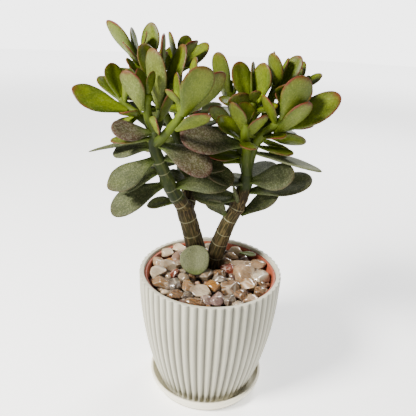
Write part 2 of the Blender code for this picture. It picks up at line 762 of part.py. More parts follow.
def cut_clear(body, cloud, blades, stems):
    """Cuts a body clear of stems, and of the leaves that come near its cloud of points."""
    cutters = swollen_stems(*stems)
    cutters += [add_object("leaf_cutter", blade.mesh(CLEARANCE), "leaf") for blade in blades if blade.near(cloud)]
    if cutters:
        combine(body, cutters, "DIFFERENCE")
        keep_main_part(body)


def build_plant():
    """Stems first, then their joined leaves, then each single leaf as a piece of its own."""
    single = [(name, leaf) for name, group in SINGLE_LEAVES.items() for leaf in group]
    joined = [(name, leaf) for name, group in SHOOT_LEAVES.items() for leaf in group]
    blades = [grow(name, leaf, False) for name, leaf in single]
    blades += [grow(name, leaf, True) for name, leaf in joined]
    settle(blades)
    counts = {}
    placed = []
    for (name, _), blade in zip(single, blades):
        counts[name] = counts.get(name, 0) + 1
        base_name = name.removesuffix("_shoot").removesuffix("_branch")
        body = add_object(f"{base_name}_leaf_{counts[name]}", blade.mesh(), "leaf")
        cut_clear(body, blade.world_samples(), placed, [])
        placed.append(blade)
    for name, stem in STEMS.items():
        slot = "green_stem" if name.endswith("shoot") else "bark"
        body = add_object(name, stem_mesh(stem), slot)
        young = [blade for blade in blades[len(single):] if blade.stem == name]
        combine(body, [add_object(f"{name}_tool", blade.mesh(), "leaf") for blade in young], "UNION")
        cloud = np.concatenate([smooth_route(stem), *(blade.world_samples() for blade in young)])
        met = [other for other in list(STEMS)[:list(STEMS).index(name)] if meets(stem, STEMS[other])]
        cut_clear(body, cloud, placed, met)
        placed += young


def build_loose_leaves():
    for name, (base, tip, width, up) in LOOSE_LEAVES.items():
        lift = np.array([0.0, 0.0, RIM_LEVEL])
        blade = Blade(np.array(base) + lift, np.array(tip) + lift, np.array(up), width, 5.0)
        add_object(name, blade.mesh(), "leaf")


def main():
    clear_scene()
    build_saucer()
    build_outer_pot()
    build_nursery_pot()
    build_soil(lambda: swollen_stems("left_trunk", "right_trunk"))
    build_gravel(lambda: swollen_stems("left_trunk", "right_trunk"))
    build_plant()
    build_loose_leaves()


main()
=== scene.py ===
"""Looks of a potted jade plant: fluted pot, saucer, nursery pot, pebbles, stems and fleshy leaves."""
from __future__ import annotations

import logging
import math
import random
from dataclasses import dataclass, field
from enum import Enum
from typing import Any, Optional, Sequence, Union

import bmesh
import bpy
import numpy as np
from mathutils import Matrix, Vector, noise


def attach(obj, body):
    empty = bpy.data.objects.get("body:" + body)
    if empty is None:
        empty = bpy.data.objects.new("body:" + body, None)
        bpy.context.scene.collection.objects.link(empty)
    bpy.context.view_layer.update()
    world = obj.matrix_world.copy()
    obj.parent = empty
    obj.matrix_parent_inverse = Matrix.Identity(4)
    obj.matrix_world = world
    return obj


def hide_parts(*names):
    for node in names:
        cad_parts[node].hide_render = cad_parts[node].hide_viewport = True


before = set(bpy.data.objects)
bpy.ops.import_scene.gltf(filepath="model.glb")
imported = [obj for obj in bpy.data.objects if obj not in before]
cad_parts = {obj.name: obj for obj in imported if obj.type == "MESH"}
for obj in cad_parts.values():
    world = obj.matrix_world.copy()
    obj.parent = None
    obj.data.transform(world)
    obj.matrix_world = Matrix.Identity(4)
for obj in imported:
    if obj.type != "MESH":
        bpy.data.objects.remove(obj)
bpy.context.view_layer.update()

LOG = logging.getLogger("jade_plant")
MM = 0.001
RIM_LEVEL = 132.2
FULL_TURN = 2.0 * math.pi

Colour = tuple[float, float, float]
Point = tuple[float, float, float]


# ---------------------------------------------------------------- shader writing

class Wire:
    """A value in a material's node tree; arithmetic on it adds Math nodes."""

    def __init__(self, tree: bpy.types.NodeTree, socket: bpy.types.NodeSocket) -> None:
        """Holds one output socket of a tree."""
        self.tree = tree
        self.socket = socket

    def math(self, operation: str, *others: Union["Wire", float], swapped: bool = False) -> "Wire":
        """Adds a Math node.

        Args:
            operation: The Math node's operation.
            others: The other operands.
            swapped: Whether this value is the second operand.

        Returns:
            The node's result.
        """
        node = self.tree.nodes.new("ShaderNodeMath")
        node.operation = operation
        values = [self, *others]
        if swapped:
            values[0], values[1] = values[1], values[0]
        for socket, value in zip(node.inputs, values):
            if isinstance(value, Wire):
                self.tree.links.new(value.socket, socket)
            else:
                socket.default_value = value
        return Wire(self.tree, node.outputs[0])

    def __add__(self, other: Union["Wire", float]) -> "Wire":
        """This value plus another."""
        return self.math("ADD", other)

    __radd__ = __add__

    def __sub__(self, other: Union["Wire", float]) -> "Wire":
        """This value minus another."""
        return self.math("SUBTRACT", other)

    def __rsub__(self, other: float) -> "Wire":
        """A number minus this value."""
        return self.math("SUBTRACT", other, swapped=True)

    def __mul__(self, other: Union["Wire", float]) -> "Wire":
        """This value times another."""
        return self.math("MULTIPLY", other)

    __rmul__ = __mul__

    def between(self, low: float, high: float) -> "Wire":
        """A smooth step from 0 at low to 1 at high."""
        node = self.tree.nodes.new("ShaderNodeMapRange")
        node.interpolation_type = "SMOOTHSTEP"
        node.inputs["From Min"].default_value = low
        node.inputs["From Max"].default_value = high
        self.tree.links.new(self.socket, node.inputs["Value"])
        return Wire(self.tree, node.outputs["Result"])


class Paint:
    """One material under construction, on a Principled shader."""

    def __init__(self, name: str) -> None:
        """Starts an empty material with its shader."""
        self.material = bpy.data.materials.new(name)
        self.material.use_nodes = True
        self.tree = self.material.node_tree
        self.shader = self.tree.nodes["Principled BSDF"]

    def node(self, kind: str, settings: Optional[dict[str, Any]] = None, output: Union[int, str] = 0,
             **sockets: Any) -> Wire:
        """Adds any node.

        Args:
            kind: The node's type.
            settings: Properties set first, where "stops" are a ramp's (position, colour) pairs.
            output: The output to return.
            sockets: Values or wires by socket name, with underscores for spaces.

        Returns:
            The chosen output.
        """
        made = self.tree.nodes.new(kind)
        for key, value in (settings or {}).items():
            if key == "stops":
                ramp = made.color_ramp
                while len(ramp.elements) < len(value):
                    ramp.elements.new(0.5)
                for element, (position, colour) in zip(ramp.elements, value):
                    element.position = position
                    element.color = (*colour, 1.0)
            else:
                setattr(made, key, value)
        for key, value in sockets.items():
            socket = made.inputs[int(key[1:])] if key[0] == "_" else made.inputs[key.replace("_", " ")]
            if isinstance(value, Wire):
                self.tree.links.new(value.socket, socket)
            else:
                socket.default_value = value
        return Wire(self.tree, made.outputs[output])

    def attribute(self, name: str) -> tuple[Wire, Wire, Wire]:
        """The three numbers of a piece's own attribute."""
        vector = self.node("ShaderNodeAttribute", {"attribute_name": name}, "Vector")
        split = self.tree.nodes.new("ShaderNodeSeparateXYZ")
        self.tree.links.new(vector.socket, split.inputs[0])
        return tuple(Wire(self.tree, socket) for socket in split.outputs)

    def attribute_colour(self, name: str) -> Wire:
        """A piece's own colour attribute."""
        return self.node("ShaderNodeAttribute", {"attribute_name": name}, "Color")

    def attribute_vector(self, name: str) -> Wire:
        """A piece's own vector attribute."""
        return self.node("ShaderNodeAttribute", {"attribute_name": name}, "Vector")

    def place(self) -> Wire:
        """Object coordinates, in metres."""
        return self.node("ShaderNodeTexCoord", output="Object")

    def stretch(self, vector: Wire, scale: Point) -> Wire:
        """A vector scaled along each axis."""
        return self.node("ShaderNodeVectorMath", {"operation": "MULTIPLY"}, _0=vector, _1=scale)

    def noise(self, vector: Wire, scale: float, detail: float = 2.0, distortion: float = 0.0) -> Wire:
        """Soft noise from 0 to 1, around 0.5."""
        return self.node("ShaderNodeTexNoise", Vector=vector, Scale=scale, Detail=detail,
                         Distortion=distortion)

    def cells(self, vector: Wire, scale: float) -> Wire:
        """Distance to the nearest of many scattered points."""
        return self.node("ShaderNodeTexVoronoi", Vector=vector, Scale=scale)

    def blend(self, factor: Union[Wire, float], first: Union[Wire, Colour], second: Union[Wire, Colour],
              mode: str = "MIX") -> Wire:
        """Mixes two colours by a factor."""
        pick = {"_0": factor, "_6": self.solid(first), "_7": self.solid(second)}
        settings = {"data_type": "RGBA", "blend_type": mode, "clamp_factor": True}
        return self.node("ShaderNodeMix", settings, 2, **pick)

    @staticmethod
    def solid(colour: Union[Wire, Colour]) -> Union[Wire, tuple[float, float, float, float]]:
        """A colour in the form a colour socket takes."""
        return colour if isinstance(colour, Wire) else (*colour, 1.0)

    def relief(self, height: Wire, strength: float, distance: float) -> Wire:
        """A bump normal from a height."""
        return self.node("ShaderNodeBump", Height=height, Strength=strength, Distance=distance)

    def finish(self, constants: dict[str, Any], **varying: Wire) -> bpy.types.Material:
        """Sets the shader's constants and links what varies.

        Args:
            constants: Values set on the shader's own sockets.
            varying: Wires by socket name, with underscores for spaces.

        Returns:
            The finished material.
        """
        for key, value in constants.items():
            self.shader.inputs[key].default_value = value
        for key, wire in varying.items():
            self.tree.links.new(wire.socket, self.shader.inputs[key.replace("_", " ")])
        return self.material


# ---------------------------------------------------------------- finishes

@dataclass(frozen=True)
class CreamFinish:
    """Matte cream ware, darker and a little warmer with painted shade in its grooves and low places."""

    name: str
    body: Colour
    shade: Colour
    roughness: float
    stain: Colour = (0.32, 0.29, 0.22)
    painted_shade: Colour = (0.115, 0.110, 0.082)

    def material(self) -> bpy.types.Material:
        """Builds the material, with painted shade where the piece's "groove" attribute is high."""
        paint = Paint(self.name)
        place = paint.place()
        groove, _, _ = paint.attribute("groove")
        cloud = paint.noise(place, 22.0, 3.0)
        grain = paint.noise(place, 1400.0, 2.0)
        speck = 1.0 - paint.cells(place, 420.0).between(0.05, 0.16)
        colour = paint.blend(cloud.between(0.35, 0.75) * 0.55, self.body, self.shade)
        spots = speck * paint.noise(place, 90.0).between(0.55, 0.75)
        colour = paint.blend(spots * 0.3, colour, self.stain)
        # Painted shade: a dark colour laid where the "groove" attribute is high, in the pot's grooves and the
        # saucer's low places.
        colour = paint.blend(groove * (0.80 + cloud * 0.35), colour, self.painted_shade)
        relief = paint.relief(grain + paint.noise(place, 300.0) * 1.2, 0.16, 0.0004)
        return paint.finish({"IOR": 1.46}, Base_Color=colour, Normal=relief,
                            Roughness=self.roughness + grain * 0.14)


@dataclass(frozen=True)
class TerracottaFinish:
    """Satin terracotta-coloured plastic with scuffs and soil dust."""

    name: str = "terracotta_plastic"
    body: Colour = (0.25, 0.052, 0.022)
    dust: Colour = (0.22, 0.080, 0.042)
    scuff: Colour = (0.60, 0.22, 0.12)

    def material(self) -> bpy.types.Material:
        """Builds the material."""
        paint = Paint(self.name)
        place = paint.place()
        smear = paint.noise(paint.stretch(place, (1.0, 1.0, 4.0)), 45.0, 4.0)
        grain = paint.noise(place, 900.0)
        colour = paint.blend(smear.between(0.45, 0.8) * 0.6, self.body, self.dust)
        colour = paint.blend(grain.between(0.5, 0.8) * 0.2, colour, self.scuff)
        return paint.finish({"IOR": 1.48}, Base_Color=colour, Roughness=0.42 + smear * 0.25,
                            Normal=paint.relief(grain, 0.15, 0.0003))


@dataclass(frozen=True)
class SoilFinish:
    """Dark crumbly potting soil with pale fibres."""

    name: str = "potting_soil"
    wet: Colour = (0.010, 0.007, 0.005)
    dry: Colour = (0.060, 0.036, 0.020)
    fibre: Colour = (0.18, 0.12, 0.07)

    def material(self) -> bpy.types.Material:
        """Builds the material."""
        paint = Paint(self.name)
        place = paint.place()
        lumps = paint.noise(place, 160.0, 5.0)
        crumbs = paint.cells(place, 520.0)
        fibre = paint.noise(paint.stretch(place, (1.0, 5.0, 1.0)), 260.0, 3.0, 2.0).between(0.62, 0.7)
        colour = paint.blend(lumps.between(0.3, 0.7), self.wet, self.dry)
        colour = paint.blend(fibre * 0.7, colour, self.fibre)
        return paint.finish({"Specular IOR Level": 0.25}, Base_Color=colour, Roughness=0.85 + crumbs * 0.15,
                            Normal=paint.relief(lumps + crumbs * 0.6, 0.9, 0.0012))


@dataclass(frozen=True)
class PebbleFinish:
    """Tumbled agate: banded, cloudy and glossy, tinted stone by stone."""

    name: str = "agate_pebbles"
    milk: Colour = (0.50, 0.41, 0.29)
    wisp: Colour = (0.44, 0.37, 0.27)
    band: Colour = (0.30, 0.130, 0.035)
    rust: Colour = (0.15, 0.040, 0.016)
    chalk: Colour = (0.54, 0.46, 0.35)
    warm_depth: Colour = (0.42, 0.30, 0.22)
    smoky_depth: Colour = (0.36, 0.31, 0.26)
    grey_depth: Colour = (0.50, 0.44, 0.40)

    def material(self) -> bpy.types.Material:
        """Builds the material."""
        paint = Paint(self.name)
        place = paint.attribute_vector("place")
        tint = paint.attribute_colour("tint")
        bands, rust, worn = paint.attribute("veins")
        warp = paint.noise(place, 95.0, 3.0, 0.6)
        wave = paint.node("ShaderNodeTexWave", {"wave_type": "BANDS", "bands_direction": "DIAGONAL"}, 1,
                          Vector=place, Scale=150.0, Distortion=7.0, Detail=2.0)
        cloud = paint.noise(place, 210.0, 4.0, 0.3)
        smoke = paint.noise(place, 55.0, 2.0)
        colour = paint.blend(cloud.between(0.46, 0.78) * 0.26, tint, self.milk)
        colour = paint.blend((1.0 - cloud.between(0.25, 0.5)) * 0.45, colour,
                             paint.blend(1.0, tint, self.warm_depth, "MULTIPLY"))
        colour = paint.blend(smoke.between(0.42, 0.62) * 0.62, colour,
                             paint.blend(1.0, tint, self.smoky_depth, "MULTIPLY"))
        wisp = paint.noise(paint.stretch(place, (1.0, 2.4, 1.0)), 260.0, 5.0, 1.2)
        colour = paint.blend(wisp.between(0.54, 0.70) * 0.38, colour, self.wisp)
        colour = paint.blend(wave.between(0.55, 0.9) * bands * 0.75, colour, self.band)
        colour = paint.blend(warp.between(0.58, 0.68) * rust * 0.6, colour, self.rust)
        colour = paint.blend(smoke.between(0.30, 0.55) * 0.45, colour,
                             paint.blend(1.0, colour, self.grey_depth, "MULTIPLY"))
        colour = paint.blend(worn * (0.15 + cloud * 0.6), colour, self.chalk)
        pits = paint.cells(place, 700.0).between(0.0, 0.25)
        return paint.finish(
            {"IOR": 1.58, "Subsurface Weight": 0.35, "Subsurface Scale": 0.005,
             "Subsurface Radius": (1.0, 0.72, 0.45)},
            Base_Color=colour, Roughness=0.08 + cloud * 0.16 + worn * 0.20 + (1.0 - pits) * 0.2,
            Normal=paint.relief(cloud * 1.5 + pits * 0.3, 0.25, 0.0006))


@dataclass(frozen=True)
class StemFinish:
    """Stem skin that runs from streaked brown bark to smooth green, with pale ring scars."""

    name: str
    bark: Colour = (0.018, 0.011, 0.0045)
    streak: Colour = (0.098, 0.070, 0.027)
    olive: Colour = (0.024, 0.022, 0.005)
    green: Colour = (0.007, 0.0125, 0.0004)
    bright: Colour = (0.019, 0.030, 0.0006)
    shoot: Colour = (0.070, 0.100, 0.0015)
    scar: Colour = (0.34, 0.33, 0.19)
    crack: Colour = (0.030, 0.020, 0.010)
    cast: Colour = (0.060, 0.070, 0.010)
    freckle: Colour = (0.095, 0.085, 0.030)

    def material(self) -> bpy.types.Material:
        """Builds the material."""
        paint = Paint(self.name)
        place = paint.attribute_vector("place")
        young, scar, slim = paint.attribute("skin")
        fine = paint.noise(paint.stretch(place, (1.0, 1.0, 0.10)), 820.0, 4.0, 0.5)
        long = paint.noise(paint.stretch(place, (1.0, 1.0, 0.07)), 240.0, 2.0)
        patch = paint.noise(place, 60.0, 3.0)
        bark = paint.blend(patch.between(0.38, 0.62) * 0.75, self.bark, self.olive)
        bark = paint.blend(fine.between(0.47, 0.62) * 0.80, bark, self.streak)
        bark = paint.blend(long.between(0.55, 0.7) * 0.5, bark, self.crack)
        flesh = paint.blend(patch.between(0.38, 0.70) * 0.8, self.green, self.bright)
        flesh = paint.blend(long.between(0.52, 0.7) * 0.35, flesh, self.cast)
        flesh = paint.blend(slim * (0.55 + patch * 0.6), flesh, self.shoot)
        ready = (young + (patch - 0.5) * 0.7).between(0.3, 0.7)
        colour = paint.blend(ready, bark, flesh)
        colour = paint.blend(ready * fine.between(0.56, 0.74) * 0.4, colour, self.freckle)
        colour = paint.blend(scar * (0.9 - ready * 0.35), colour, self.scar)
        relief = paint.relief(fine * (1.0 - ready * 0.85) + long * 0.6 * (1.0 - ready * 0.7), 0.65, 0.0008)
        return paint.finish({"Specular IOR Level": 0.16}, Base_Color=colour,
                            Roughness=0.78 - ready * 0.22 + fine * 0.1, Normal=relief)


@dataclass(frozen=True)
class LeafFinish:
    """Waxy leaf skin: green flesh, paler underside, painted shade towards the sides, red margin, and dust on
    old leaves.
    """

    name: str = "waxy_leaf"
    deep: Colour = (0.022, 0.038, 0.0005)
    fresh: Colour = (0.096, 0.128, 0.0010)
    sage: Colour = (0.088, 0.108, 0.010)
    grey: Colour = (0.017, 0.022, 0.006)
    frost: Colour = (0.092, 0.096, 0.048)
    plum: Colour = (0.040, 0.017, 0.011)
    lime: Colour = (0.115, 0.160, 0.004)
    bloom: Colour = (0.200, 0.235, 0.060)
    moss: Colour = (0.034, 0.042, 0.012)
    powder: Colour = (0.175, 0.185, 0.100)
    stalk: Colour = (0.052, 0.080, 0.006)
    pore: Colour = (0.180, 0.195, 0.100)
    pit: Colour = (0.010, 0.014, 0.004)
    ash: Colour = (0.115, 0.104, 0.074)
    margin: Colour = (0.074, 0.013, 0.004)

    def young(self, paint: Paint, skin: dict[str, Wire]) -> Wire:
        """The colour of a young leaf: green, yellower at its base, darker at its sides with painted shade,
        paler below.

        Args:
            paint: The material.
            skin: The leaf's measures and noises by name.

        Returns:
            The colour.
        """
        under = 1.0 - skin["side"].between(0.25, 0.75)
        colour = paint.blend(0.38 + skin["blotch"].between(0.30, 0.65) * 0.62, self.deep, self.fresh)
        colour = paint.blend((1.0 - skin["along"].between(0.0, 0.35)) * 0.6, colour, self.lime)
        colour = paint.blend(under * 0.36 + skin["sage"] * 0.70, colour, self.sage)
        # Painted shade: the leaf is darkened towards its sides, on both faces.
        colour = paint.blend(skin["across"].between(0.30, 1.0) * 0.62, colour, self.deep)
        powdered = skin["dust"].between(0.50, 0.70) * (0.18 + skin["sage"] * 0.35)
        colour = paint.blend(powdered, colour, self.bloom)
        return paint.blend((1.0 - skin["dust"].between(0.32, 0.50)) * 0.40, colour, self.deep)

    def old(self, paint: Paint, skin: dict[str, Wire]) -> Wire:
        """The colour of an old leaf: grey-green under a fine broken coat of dust, darker at its sides with
        painted shade.

        Args:
            paint: The material.
            skin: The leaf's measures and noises by name.

        Returns:
            The colour.
        """
        blotch, dust = skin["blotch"], skin["dust"]
        colour = paint.blend(blotch.between(0.36, 0.70), self.grey, self.moss)
        coat = dust.between(0.46, 0.64) * (0.40 + blotch.between(0.35, 0.65) * 0.5)
        colour = paint.blend(coat, colour, self.frost)
        # Painted shade: the leaf is darkened towards its sides, on both faces.
        colour = paint.blend(skin["across"].between(0.45, 1.0) * 0.40, colour, self.grey)
        colour = paint.blend(skin["sage"] * (0.25 + dust * 0.7), colour, self.powder)
        return paint.blend((1.0 - skin["along"].between(0.05, 0.3)) * 0.6, colour, self.stalk)

    def blushed(self, paint: Paint, skin: dict[str, Wire], colour: Wire) -> Wire:
        """Adds the broken red margin, the red tip and, on the ripest leaves, a plum face.

        Args:
            paint: The material.
            skin: The leaf's measures and noises by name.
            colour: The leaf's colour so far.

        Returns:
            The colour.
        """
        along, across, blotch, mottle = (skin[name] for name in ("along", "across", "blotch", "mottle"))
        broken = mottle.between(0.30, 0.62)
        rim = (across + (blotch - 0.5) * 0.34).between(0.82, 1.00) * along.between(0.30, 0.80)
        wash = across.between(0.60, 1.0) * along.between(0.5, 0.95) * 0.22
        wash = wash + along.between(0.70, 1.0) * broken * 0.30
        red = paint.blend(skin["age"] * 0.65, self.margin, self.plum)
        share = rim * (0.35 + broken * 0.65) + along.between(0.88, 1.0) * 0.7 + wash
        colour = paint.blend(share * skin["blush"].between(0.1, 1.0), colour, red)
        ripe = (skin["blush"] - 1.0).between(0.0, 1.0) * (along + (blotch - 0.5) * 0.8).between(0.15, 0.60)
        face = 0.35 + mottle.between(0.35, 0.65) * 0.30 + across * 0.35
        colour = paint.blend(ripe * face, colour, self.plum)
        return paint.blend(ripe * skin["dust"].between(0.44, 0.62) * 0.65, colour, self.ash)

    def material(self) -> bpy.types.Material:
        """Builds the material from the "leaf", "mood" and "place" attributes."""
        paint = Paint(self.name)
        along, across, side = paint.attribute("leaf")
        age, blush, sage = paint.attribute("mood")
        place = paint.attribute_vector("place")
        blotch, mottle = paint.noise(place, 75.0, 3.0), paint.noise(place, 340.0, 4.0)
        dust, speckle = paint.noise(place, 700.0, 4.0, 0.4), paint.noise(place, 1300.0, 2.0)
        dots = 1.0 - paint.cells(place, 620.0).between(0.08, 0.30)
        skin = {"along": along, "across": across, "side": side, "age": age, "blush": blush, "sage": sage,
                "blotch": blotch, "mottle": mottle, "dust": dust}
        colour = paint.blend(age, self.young(paint, skin), self.old(paint, skin))
        colour = paint.blend(dots * (0.14 + age * 0.34), colour, self.pore)
        colour = paint.blend(speckle.between(0.48, 0.7) * (0.10 + age * 0.35), colour, self.pit)
        height = mottle * (0.4 + age * 0.6) + dust * (0.7 + age * 0.6) + dots * 0.5
        under = 1.0 - side.between(0.25, 0.75)
        return paint.finish(
            {"IOR": 1.42, "Specular IOR Level": 0.26, "Subsurface Weight": 0.08, "Subsurface Scale": 0.002,
             "Subsurface Radius": (0.8, 1.0, 0.2)},
            Base_Color=self.blushed(paint, skin, colour),
            Roughness=0.40 + age * 0.28 + mottle * 0.10 + under * 0.08,
            Normal=paint.relief(height, 0.38, 0.0006))


# ---------------------------------------------------------------- mesh helpers

def turned(profile: Sequence[tuple[float, float]], steps: int) -> bmesh.types.BMesh:
    """Spins a profile into a closed solid of revolution.

    Args:
        profile: (radius, height) pairs in millimetres, from axis to axis, running up the outside.
        steps: Facets round the axis.

    Returns:
        The solid's mesh.
    """
    bm = bmesh.new()
    verts = [bm.verts.new((radius * MM, 0.0, height * MM)) for radius, height in profile]
    edges = [bm.edges.new(pair) for pair in zip(verts, verts[1:])]
    bmesh.ops.spin(bm, geom=verts + edges, cent=(0, 0, 0), axis=(0, 0, 1), angle=FULL_TURN, steps=steps,
                   use_merge=True, use_duplicate=False)
    bmesh.ops.remove_doubles(bm, verts=bm.verts, dist=1e-6)
    bmesh.ops.dissolve_degenerate(bm, edges=bm.edges, dist=1e-7)
    bmesh.ops.recalc_face_normals(bm, faces=bm.faces)
    return bm


def rounded(corners: Sequence[tuple[float, float, float]], steps: int = 4) -> list[tuple[float, float]]:
    """A profile with its corners rounded.

    Args:
        corners: (radius, height, fillet) triples in millimetres.
        steps: Points in each fillet.

    Returns:
        (radius, height) pairs.
    """
    points = [Vector(corner[:2]) for corner in corners]
    line = [tuple(points[0])]
    for before, corner, after, spec in zip(points, points[1:], points[2:], corners[1:]):
        fillet = min(spec[2], (before - corner).length * 0.45, (after - corner).length * 0.45)
        if fillet <= 0.0:
            line.append(tuple(corner))
            continue
        start = corner + (before - corner).normalized() * fillet
        end = corner + (after - corner).normalized() * fillet
        for step in range(steps + 1):
            t = step / steps
            line.append(tuple(start * (1 - t) ** 2 + corner * 2 * t * (1 - t) + end * t**2))
    line.append(tuple(points[-1]))
    return line


def divided(profile: Sequence[tuple[float, float]], longest: float) -> list[tuple[float, float]]:
    """A profile whose long runs are divided to pieces no longer than a length."""
    line = [profile[0]]
    for (r0, z0), (r1, z1) in zip(profile, profile[1:]):
        count = max(1, math.ceil(math.hypot(r1 - r0, z1 - z0) / longest))
        line += [(r0 + (r1 - r0) * k / count, z0 + (z1 - z0) * k / count) for k in range(1, count + 1)]
    return line


def piece(name: str, bm: bmesh.types.BMesh, material: bpy.types.Material,
          nodes: Sequence[str]) -> bpy.types.Object:
    """Makes a finished piece of the object from a mesh.

    Args:
        name: The piece's name.
        bm: The mesh, which is freed.
        material: Its material.
        nodes: The CAD nodes it stands for.

    Returns:
        The piece.
    """
    mesh = bpy.data.meshes.new(name)
    bm.to_mesh(mesh)
    bm.free()
    mesh.shade_smooth()
    mesh.materials.append(material)
    made = bpy.data.objects.new(name, mesh)
    bpy.context.scene.collection.objects.link(made)
    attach(made, "root")
    if nodes:
        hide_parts(*nodes)
    LOG.info("%s: %d faces", name, len(mesh.polygons))
    return made


def wobble(x: float, y: float, z: float, scale: float) -> float:
    """Smooth noise from -1 to 1 at a point."""
    return noise.noise(Vector((x, y, z)) * scale)


# ---------------------------------------------------------------- pot, saucer and liner

@dataclass
class FlutedPot:
    """The outer pot: a belly-sided cup with rounded ribs that end just below the rim."""

    rim_radius: float = 70.0
    height: float = 128.4
    bottom: float = 3.8
    wall: float = 4.5
    floor: float = 5.0
    foot_radius: float = 48.5
    power: float = 2.2
    ribs: int = 55
    depth: float = 2.7
    facets_per_rib: int = 12

    def radius(self, level: float) -> float:
        """Outer radius at a level."""
        share = min(max((level - self.bottom) / self.height, 0.0), 1.0)
        return self.foot_radius + (self.rim_radius - self.foot_radius) * (1.0 - (1.0 - share) ** self.power)

    def profile(self) -> list[tuple[float, float]]:
        """The wall's outline from the foot's centre, up the outside and down the inside."""
        top = self.bottom + self.height
        levels = np.linspace(self.bottom + 3.0, top - 3.4, 30)
        outside = [(self.radius(level), level) for level in levels]
        low = [(0.0, self.bottom + 1.0, 0.0), (self.foot_radius - 6.0, self.bottom + 1.0, 0.0),
               (self.foot_radius - 5.0, self.bottom, 0.3), (self.radius(self.bottom + 1.0), self.bottom, 2.2),
               (self.radius(self.bottom + 3.0), self.bottom + 3.0, 0.0)]
        high = [(self.radius(top - 3.4), top - 3.4, 0.0), (self.rim_radius, top, 1.2),
                (self.rim_radius - self.wall, top, 0.9), (self.rim_radius - self.wall - 0.3, top - 4.0, 0.0)]
        levels = np.linspace(top - 8.0, self.bottom + 8.0, 7)
        inside = [(self.radius(level) - self.wall, level) for level in levels]
        inside += [(self.foot_radius - 7.0, self.bottom + self.floor), (0.0, self.bottom + self.floor)]
        return rounded(low)[:-1] + outside + rounded(high)[1:] + inside

    def groove(self, turn: float) -> float:
        """Share of the groove depth at an angle: 0 on a rib's crest, 1 between two ribs."""
        across = abs(((turn * self.ribs / FULL_TURN) % 1.0) * 2.0 - 1.0)
        return min(1.0, 0.10 * across + 0.90 * across**1.9)

    def build(self, material: bpy.types.Material) -> bpy.types.Object:
        """Builds the pot."""
        bm = turned(self.profile(), self.ribs * self.facets_per_rib)
        top = self.bottom + self.height
        layer = bm.verts.layers.float_vector.new("groove")
        for vert in bm.verts:
            x, y, z = (value / MM for value in vert.co)
            radius = math.hypot(x, y)
            if radius < self.radius(z) - 0.55 * self.wall or z < self.bottom + 0.2:
                continue
            fade_top = min(1.0, max(0.0, (top - 0.2 - z) / 1.2)) ** 0.5
            fade_low = min(1.0, max(0.0, (z - self.bottom - 0.4) / 4.0)) ** 0.6
            depth = self.groove(math.atan2(y, x))
            cut = self.depth * depth * (0.48 + 0.52 * fade_top) * fade_low
            # The "groove" attribute is a mask of painted shade: strongest between the ribs, gone at the rim
            # and the foot, and weaker towards the bottom.
            groove_shade_fade = min(1.0, max(0.0, (z - self.bottom) / 16.0)) ** 0.7
            vert[layer] = (depth**0.9 * fade_top * fade_low * groove_shade_fade, 0.0, 0.0)
            vert.co.x *= (radius - cut) / radius
            vert.co.y *= (radius - cut) / radius
        return piece("fluted_pot", bm, material, ["outer_pot"])


@dataclass
class Saucer:
    """The round saucer: a shallow dish with a rolled lip and a narrow foot ring."""

    lip_inner: float = 56.6
    wall: float = 3.0
    height: float = 14.0
    floor: float = 3.5
    foot: float = 54.9

    def build(self, material: bpy.types.Material) -> bpy.types.Object:
        """Builds the saucer."""
        outer = self.lip_inner + self.wall
        corners = [(0, 0.6, 0), (self.foot - 5.5, 0.6, 0.4), (self.foot - 5.0, 0, 0.3),
                   (self.foot - 0.9, 0, 0.5), (self.foot - 0.3, 2.4, 0.8),
                   (outer - 0.9, 8.2, 2.0), (outer, self.height - 2.4, 1.2),
                   (outer - 0.2, self.height, 1.3), (self.lip_inner + 0.2, self.height, 1.2),
                   (self.lip_inner - 0.6, self.height - 4, 1.5), (51.5, self.floor, 3.2), (0, self.floor, 0)]
        bm = turned(divided(rounded(corners, 6), 6.0), 160)
        layer = bm.verts.layers.float_vector.new("groove")
        # The "groove" attribute is a mask of painted shade: darker towards the floor on the outer wall and
        # foot, and a little darker across the middle, under the pot.
        for vert in bm.verts:
            low = max(0.0, 1.0 - vert.co.z / (4.0 * MM)) if vert.co.xy.length > 0.052 else 0.25
            vert[layer] = (0.55 * low, 0.0, 0.0)
        return piece("round_saucer", bm, material, ["saucer"])


@dataclass
class NurseryPot:
    """The thin inner pot with a rolled rim, standing in the outer pot."""

    rim: float = 65.2
    top: float = 129.2
    foot: float = 42.8
    level: float = 9.1
    wall: float = 1.2
    side: float = 63.4
    collar: float = 4.0

    def build(self, material: bpy.types.Material) -> bpy.types.Object:
        """Builds the nursery pot."""
        step, side = self.top - self.collar, self.side
        corners = [(0, self.level, 0), (self.foot, self.level, 1.2), (side - 0.4, step - 0.2, 0.2),
                   (self.rim - 0.1, step + 0.4, 0.4), (self.rim, self.top, 1.1),
                   (self.rim - 2.6, self.top, 1.0),
                   (side - self.wall, self.top - 2.2, 0.6), (side - self.wall - 0.5, step - 2.0, 0.5),
                   (self.foot - self.wall, self.level + self.wall, 1.0), (0, self.level + self.wall, 0)]
        bm = turned(divided(rounded(corners), 12.0), 128)
        return piece("nursery_pot_shell", bm, material, ["nursery_pot"])


@dataclass
class SoilBed:
    """The soil under the pebbles, lumpy on top."""

    bottom: float = 10.9
    low_radius: float = 41.8
    radius: float = 60.6
    top: float = 117.5

    def build(self, material: bpy.types.Material) -> bpy.types.Object:
        """Builds the soil."""
        profile = [(0, self.bottom), (self.low_radius, self.bottom), (self.radius, self.top)]
        profile += [(self.radius * (1 - k / 24), self.top) for k in range(1, 25)]
        bm = turned(divided(profile, 14.0), 110)
        for vert in bm.verts:
            if vert.co.z > (self.top - 0.5) * MM and vert.co.xy.length < 0.0598:
                x, y, _ = vert.co
                vert.co.z += (2.2 * wobble(x, y, 0.0, 130.0) + 1.1 * wobble(x, y, 3.0, 420.0)) * MM
        return piece("soil_bed", bm, material, ["soil"])


# ---------------------------------------------------------------- pebbles

